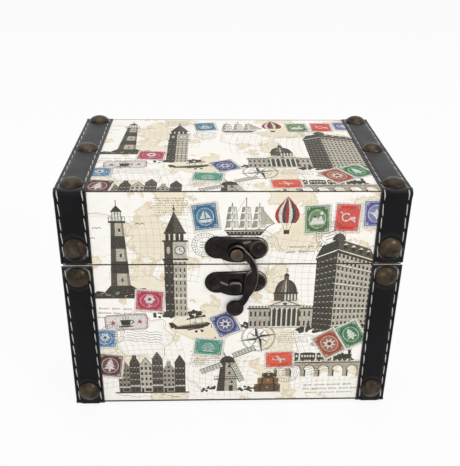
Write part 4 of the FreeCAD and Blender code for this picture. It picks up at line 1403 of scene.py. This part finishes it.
def ornament(kind, ink, back):
    """A small plain picture for the middle of a stamp, about 8 wide and 8 high."""
    d = Drawing()
    for outline in EMBLEMS.get(kind, ()):
        d.fill(outline, ink)
    if kind == "peaks":
        d.fill([(-4, -3), (-1.2, 2.4), (0.4, 0), (1.8, 1.8), (4, -3)], ink)
        d.fill([(-1.9, 1.0), (-1.2, 2.4), (-0.4, 1.2), (-1.1, 0.6)], back)
        d.disc(2.2, 3.0, 0.9, ink, 12)
    elif kind == "flower":
        for i in range(6):
            d.disc(*polar(1.7, 60 * i, 0, 0.9), 1.15, ink)
        d.disc(0, 0.9, 0.9, back)
        d.upright(0, -1.8, -4, 0.5, ink)
        d.fill([(0, -3.6), (2.2, -2.2), (0.6, -3.9)], ink)
    elif kind == "horn":
        d.arc(-0.6, 0.2, 2.0, 2.0, 40, 350, 0.75, ink, 16)
        d.fill([(1.2, -0.6), (4, -2.6), (4, 0.6), (1.2, 0.4)], ink)
        d.line([(-2, 1.8), (-3.8, 3.2)], 0.6, ink)
    elif kind == "tree":
        for level, half in ((-2.2, 3.0), (-0.4, 2.4), (1.4, 1.7)):
            d.fill([(-half, level), (half, level), (0, level + 2.9)], ink)
        d.box(-0.5, -3.6, 1.0, 1.4, ink)
    elif kind == "star":
        d.fill(star(8, 3.6, 1.7), ink)
        d.disc(0, 0, 1.1, back, 12)
    elif kind == "rays":
        for i in range(5):
            d.arc(0, -3, 1.0 + i * 0.8, 1.2 + i * 1.2, 15, 165, 0.35, ink, 10)
        d.box(-3.6, -3.6, 7.2, 0.7, ink)
    return d


def stamp(wide, high, ink, kind, oval):
    d = Drawing()
    border = []
    for x, y, dx, dy, long in ((-wide / 2, -high / 2, 1, 0, wide), (wide / 2, -high / 2, 0, 1, high),
                               (wide / 2, high / 2, -1, 0, wide), (-wide / 2, high / 2, 0, -1, high)):
        count = round(long / PERFORATION)
        for i in range(count):
            for share, depth in NOTCH:
                along = (i + share) * long / count
                border.append((x + dx * along - dy * depth, y + dy * along + dx * depth))
    d.fill([(x + 0.35, y - 0.4) for x, y in border], (203, 193, 172))
    d.fill(border, (240, 234, 220))
    w, h = wide / 2 - 1.15, high / 2 - 1.15
    pale = blend(ink, WHITE, 0.62)
    soft = blend(ink, WHITE, 0.3)
    deep = blend(ink, (20, 16, 24), 0.35)
    d.box(-w, -h, 2 * w, 2 * h, ink)
    d.rim(0.6 - w, 0.6 - h, 2 * w - 1.2, 2 * h - 1.2, 0.28, pale)
    rx, ry = w * 0.74, h * 0.72
    if oval:
        d.oval(0, 0, rx, ry, pale, 28)
        d.oval(0, 0, rx - 0.5, ry - 0.5, soft, 28)
    else:
        d.box(-rx - 0.4, -ry + 0.9, 2 * rx + 0.8, 2 * ry - 1.2, soft)
    for i in range(1, int(2 * ry / STAMP_LINES)):
        y = -ry + i * STAMP_LINES
        half = (rx - 0.6) * math.sqrt(max(0.0, 1 - (y / ry) ** 2)) if oval else rx
        if half > 0.5:
            d.level(y, -half, half, 0.2, ink)
    size = min(rx, ry) / 4.3
    d.paste(ornament(kind, deep, pale), 0.22, -0.22, size)
    d.paste(ornament(kind, blend(ink, WHITE, 0.82), deep), 0, 0, size)
    for x in (1.5 - w, w - 1.5):
        for y in (1.5 - h, h - 1.5):
            d.disc(x, y, 0.85, pale)
            d.disc(x, y, 0.45, deep, 8)
    return d


def postmark(radius, tail):
    d = Drawing()
    tone = (74, 70, 68)
    d.arc(0, 0, radius, radius, 8, 352, 0.32, tone, 34)
    d.arc(0, 0, radius * 0.66, radius * 0.66, 0, 360, 0.25, tone, 26)
    for i in range(26):
        angle = i * 360 / 26
        d.line([polar(radius * 0.77, angle), polar(radius * 0.9, angle)], 0.42, tone)
    for y in (-1.6, 0.0, 1.6):
        d.level(y * radius / 7, -radius * 0.42, radius * 0.42, 0.4, tone)
    for i in range(5 if tail else 0):
        y = (i - 2) * radius * 0.26
        wave = [(radius * 1.08 + s * tail / 16, y + 0.55 * math.sin(s * 1.05)) for s in range(17)]
        d.line(wave, 0.28, tone)
    return d


def longhand(wide, lines):
    """Lines of slanting loops that only suggest handwriting."""
    d = Drawing()
    for line in range(lines):
        x = random.uniform(0, 3)
        end = wide - random.uniform(0, wide * 0.25)
        while x < end:
            waves = random.randint(4, 11)
            tall = random.uniform(0.35, 0.6)
            points = []
            for i in range(waves * 6 + 1):
                turn = i * math.pi / 3
                high = tall * (1 + 1.1 * math.exp(-((i - 4) / 3.2) ** 2)) * math.sin(turn)
                points.append((x + i * 0.155 + 0.3 * high + 0.06 * math.cos(turn), -line * 3.4 + high))
            d.line(points, 0.2, (96, 86, 78))
            x += waves * 0.93 + random.uniform(1.0, 2.0)
    return d


def small_print(wide, lines):
    """Rows of short dashes that only suggest printed lines."""
    d = Drawing()
    for line in range(lines):
        x = random.uniform(0, wide * 0.12)
        end = wide - random.uniform(0, wide * 0.2)
        while x < end:
            long = random.uniform(0.4, 1.5)
            d.box(x, -line * 1.7, long, random.uniform(0.35, 0.6), (150, 138, 122))
            x += long + random.uniform(0.3, 0.9)
    return d


def coast(radius, seed):
    """A map coast: one wandering outline with two fainter echoes."""
    d = Drawing()
    wander = random.Random(seed)
    waves = [(wander.uniform(0.05, 0.22) / (k ** 0.6), wander.uniform(0, 6.28), k) for k in range(2, 11)]
    for shrink, width, tone in ((1.0, 0.45, (203, 184, 148)), (0.93, 0.22, (216, 203, 176)),
                                (0.86, 0.2, (224, 213, 190))):
        points = []
        for i in range(73):
            angle = 2 * math.pi * i / 72
            reach = radius * shrink * (1 + sum(a * math.sin(k * angle + p) for a, p, k in waves))
            points.append((reach * math.cos(angle), reach * 0.8 * math.sin(angle)))
        d.line(points, width, tone)
    return d


def graticule(wide, high, pitch, bend):
    """A map's net of lines, bent one way."""
    d = Drawing()
    tone = (190, 184, 172)
    bow = [(j / 8, bend * math.sin(math.pi * j / 8)) for j in range(9)]
    for i in range(int(wide / pitch) + 1):
        d.line([(i * pitch + lean, high * share) for share, lean in bow], 0.2, tone)
    for i in range(int(high / pitch) + 1):
        d.line([(wide * share, i * pitch + lean) for share, lean in bow], 0.2, tone)
    return d


TILE_WIDE, TILE_HIGH = 230.0, 173.5
STAMP_SCALE = 1.24


def travel_print():
    """One repeat of the printed paper, from its lower left corner."""
    sheet = Drawing()
    for wide, high, pitch, bend, x, y, angle in (
            (62, 46, 4.4, 3, 18, 12, 4), (74, 56, 4.8, -4, 116, 92, -6), (60, 50, 4.2, 3, 146, 6, 8),
            (62, 48, 4.6, 3, 30, 108, -3), (46, 40, 4.4, -3, 84, 6, -5)):
        sheet.paste(graticule(wide, high, pitch, bend), x, y, 1, angle)
    for radius, seed, x, y in ((24, 3, 48, 60), (20, 8, 128, 128), (26, 5, 184, 52), (17, 13, 96, 26),
                               (22, 21, 22, 140), (16, 34, 206, 120)):
        sheet.paste(coast(radius, seed), x, y)
    for picture, *place in (
            (compass_rose(), 134, 58, 1.1, 12), (small_print(28, 8), 60, 168), (small_print(24, 9), 84, 46),
            (small_print(26, 6), 148, 62), (longhand(44, 2), 150, 132, 1.1, 2),
            (longhand(38, 3), 20, 84, 1.1, -2), (longhand(40, 3), 168, 14, 1.1, 1),
            (postmark(9, 0), 96, 134), (lighthouse(), 38, 92, 1.5),
            (clock_tower(), 76, 76, 1.22), (town_hall(), 152, 66, 1.16), (corner_hotel(), 191, 62, 1.28),
            (canal_houses(), 56, 9, 1.02), (windmill(), 112, 9, 1.3), (viaduct(), 178, 22, 1.02),
            (tall_ship(), 122, 141, 0.96), (balloon(), 150, 142, 1.02), (trunk_pile(), 142, 8, 0.8),
            (biplane(), 88, 62, 1.25, 8), (sign_board(), 40, 72, 0.95, 3)):
        sheet.paste(picture, *place)
    for wide, high, ink, kind, oval, x, y, angle in (
            (15, 17, (24, 108, 148), "boat", True, 96, 155, 8),
            (17, 15, (186, 16, 74), "flower", True, 57, 90, -5),
            (15, 17, (50, 64, 132), "star", True, 110, 70, 24),
            (15, 18, (84, 140, 74), "peaks", True, 170, 153, 3),
            (15, 18, (222, 46, 40), "horn", False, 190, 154, -2),
            (15, 17, (92, 98, 172), "bird", True, 209, 157, 2),
            (16, 18, (104, 34, 46), "tree", True, 26, 34, -8),
            (18, 13, (242, 70, 38), "plane", False, 150, 38, 2),
            (18, 13, (40, 146, 122), "rays", False, 98, 50, -6),
            (16, 19, (164, 76, 46), "star", True, 186, 52, 32),
            (15, 18, (22, 116, 64), "tree", True, 201, 60, 30),
            (14, 14, (72, 132, 192), "flower", True, 24, 58, 0)):
        sheet.paste(stamp(wide, high, ink, kind, oval), x, y, STAMP_SCALE, angle)
    for radius, tail, x, y, angle in ((10, 0, 180, 141, 20), (8.5, 26, 30, 62, -6), (9, 22, 156, 26, 10)):
        sheet.paste(postmark(radius, tail), x, y, 1, angle)
    return sheet


# The printed sheets

EDGE_INK = (62, 55, 49)
DRAWN_TONES = (0, 30, 79, 113, 167, 216, 255)
PRINTED_TONES = (4, 8, 32, 80, 204, 248, 253)
REPEATS = range(-2, 3)
BASE_BORDERS = (1.4, 0.2)
LID_BORDERS = (0.2, 0.3)
TOP_BORDERS = (0.3, 1.0)
UV_UNIT = 100
SMALLEST_SHAPE = 1e-3
BAKE_FRONT = (0.01, 0.01, 0.98, 0.85)
BAKE_REAR = (0.01, 0.91, 0.3, 0.08)
BAKE_RIM = (0.875, 0.895)


def clipped(outline, wide, high):
    """The part of an outline inside the rectangle from the origin to (wide, high)."""
    for axis, limit, sign in ((0, 0, 1), (0, wide, -1), (1, 0, 1), (1, high, -1)):
        kept = []
        for start, end in zip(outline, outline[1:] + outline[:1]):
            a, b = sign * (start[axis] - limit), sign * (end[axis] - limit)
            if a >= 0:
                kept.append(start)
            if (a < 0) != (b < 0):
                share = a / (a - b)
                kept.append(tuple(p + (q - p) * share for p, q in zip(start, end)))
        outline = kept
        if len(outline) < 3:
            return []
    return outline


def signed_area(outline):
    return sum(a[0] * b[1] - b[0] * a[1] for a, b in zip(outline, outline[1:] + outline[:1])) / 2


def printed_window(tile, left, bottom, wide, high, borders):
    """A window of the repeating print as points, triangles and an ink for each triangle."""
    outlines, inks = [oblong(0, 0, wide, high)], [None]
    for outline, ink in tile.shapes:
        xs, ys = zip(*outline)
        for across in REPEATS:
            dx = across * TILE_WIDE - left
            if max(xs) + dx <= 0 or min(xs) + dx >= wide:
                continue
            for up in REPEATS:
                dy = up * TILE_HIGH - bottom
                if max(ys) + dy <= 0 or min(ys) + dy >= high:
                    continue
                shape = clipped([(x + dx, y + dy) for x, y in outline], wide, high)
                area = signed_area(shape) if shape else 0
                if abs(area) >= SMALLEST_SHAPE:
                    outlines.append(shape if area > 0 else shape[::-1])
                    inks.append(ink)
    below, above = borders
    for low, top in ((0, below), (high - above, high)):
        outlines.append([(0, low), (wide, low), (wide, top), (0, top)])
        inks.append(EDGE_INK)
    spots, triangles, origins = cut(outlines)
    shown = [inks[max(origin)] if origin else None for origin in origins]
    return [(p.x, p.y) for p in spots], triangles, shown


def crisp(ink):
    """An ink with the print's strong contrast, the greys more than the colours."""
    tone = sum(ink) / 3
    colour = min(max(max(ink) - min(ink) - 34, 0) / 50, 1)
    grey = np.interp(tone, DRAWN_TONES, PRINTED_TONES)
    strong = colour * (128 + 1.05 * (tone - 132)) + (1 - colour) * float(grey)
    return [min(max(strong + (0.75 + 0.45 * colour) * (channel - tone), 5), 252) for channel in ink]


def add_cover(node, body, across, up, tile, left, bottom, paper, borders):
    """A printed sheet with real thickness over one side of the box, seen from outside."""
    low, high = span(node)
    size = high - low
    across, up = Vector(across), Vector(up)
    inward = -across.cross(up)
    corner = Vector([a if way > 0 else b for a, b, way in zip(low, high, across + up + inward)])
    wide, tall, thick = [abs(size.dot(way)) for way in (across, up, inward)]
    spots, triangles, inks = printed_window(tile, left, bottom, wide, tall, borders)
    points = [corner + across * x + up * y for x, y in spots]
    faces = [list(triangle) for triangle in triangles]
    loop = rim_loop(faces)
    behind = {v: len(points) + i for i, v in enumerate(loop)}
    points += [points[v] + inward * thick for v in loop]
    for a, b in zip(loop, loop[1:] + loop[:1]):
        faces.append([b, a, behind[a], behind[b]])
        inks.append(EDGE_INK)
    faces.append([behind[v] for v in reversed(loop)])
    inks.append(None)
    mesh = add_piece(node + "_print", points, faces, body, paper, [node], smooth=False).data
    flat = np.array(spots + [spots[v] for v in loop])
    turn = np.zeros(len(flat))
    turn[loop] = turn[len(spots):] = np.arange(len(loop)) / len(loop)
    corners = np.empty(len(mesh.loops), int)
    mesh.loops.foreach_get("vertex_index", corners)
    owner = np.repeat(np.arange(len(faces)), [len(face) for face in faces])
    shades = np.array([(*linear(*crisp(ink))[:3], 1.0) if ink else (1.0, 1.0, 1.0, 0.0) for ink in inks])
    x, y = flat[corners].T

    def bake_place(area):
        return np.stack([area[0] + area[2] * x / wide, area[1] + area[3] * y / tall], axis=1)

    bake = bake_place(BAKE_FRONT)
    wall = (owner >= len(triangles)) & (owner < len(faces) - 1)
    bake[wall, 0] = BAKE_FRONT[0] + BAKE_FRONT[2] * turn[corners[wall]]
    bake[wall, 1] = np.where(corners[wall] < len(spots), *BAKE_RIM)
    rear = owner == len(faces) - 1
    bake[rear] = bake_place(BAKE_REAR)[rear]
    mesh.color_attributes.new("Ink", "FLOAT_COLOR", "CORNER").data.foreach_set("color", shades[owner].ravel())
    for name, places in (("Sheet", np.stack([(x + left) / UV_UNIT, (y + bottom) / UV_UNIT], axis=1)),
                         ("OFBake", bake)):
        layer = mesh.uv_layers.new(name=name)
        layer.data.foreach_set("uv", places.ravel())
    mesh.uv_layers.active = mesh.uv_layers["OFBake"]


def add_covers(tile, paper):
    """The print runs on over the lid and the base, and round to the ends, the back and the top."""
    foot = span("base_front_cover")[0].z
    for part, borders in (("base", BASE_BORDERS), ("lid", LID_BORDERS)):
        for side, across, left in (("front", (1, 0, 0), 0.0), ("back", (-1, 0, 0), 96.0),
                                   ("left", (0, -1, 0), 150.0), ("right", (0, 1, 0), 44.0)):
            node = f"{part}_{side}_cover"
            bottom = span(node)[0].z - foot
            add_cover(node, part, across, (0, 0, 1), tile, left, bottom, paper, borders)
    low, high = span("lid_top_cover")
    bottom = TILE_HIGH - (high.y - low.y)
    add_cover("lid_top_cover", "lid", (1, 0, 0), (0, 1, 0), tile, 0.0, bottom, paper, TOP_BORDERS)


# The finished scene

random.seed(7)
bpy.context.scene.view_settings.view_transform = "Standard"
photo_camera()
white_world(0.55)
white_floor(0.9)
CHEST_MIDDLE = (0, 0, 0.1)
soft_light("overhead", (0.0, 0.1, 1.5), CHEST_MIDDLE, 1.6, 7.4)
soft_light("front", (-0.4, -1.65, 0.3), CHEST_MIDDLE, 1.2, 4.6)
soft_light("key", (0.9, -1.1, 1.1), CHEST_MIDDLE, 0.45, 6.0)

brass = metal_finish("aged_brass", (36, 29, 24), (78, 67, 53), (150, 136, 112))
bronze = metal_finish("dark_bronze", (26, 22, 23), (46, 39, 38), (170, 160, 150))
rivet_metal = metal_finish("rubbed_bronze", (52, 43, 38), (84, 71, 62), (130, 114, 98))
add_straps(leather_finish(), thread_finish())
add_studs(brass)
add_latch(bronze, rivet_metal)
add_covers(travel_print(), paper_finish())

hinge_bronze = metal_finish("hinge_bronze", (40, 34, 31), (72, 61, 53), (150, 135, 118))
finishes = {"_board": board_finish(), "_leaf": hinge_bronze, "_pin": hinge_bronze,
            "_hinge_tacks": rivet_metal,
            "_lining": plain_paper_finish("lining_paper", (26, 24, 24), (46, 43, 41), 40.0),
            "_bottom_cover": plain_paper_finish("backing_paper", (58, 52, 46), (92, 84, 74), 60.0)}
for name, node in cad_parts.items():
    for ending, finish in finishes.items():
        if name.endswith(ending):
            node.data.materials.clear()
            node.data.materials.append(finish)
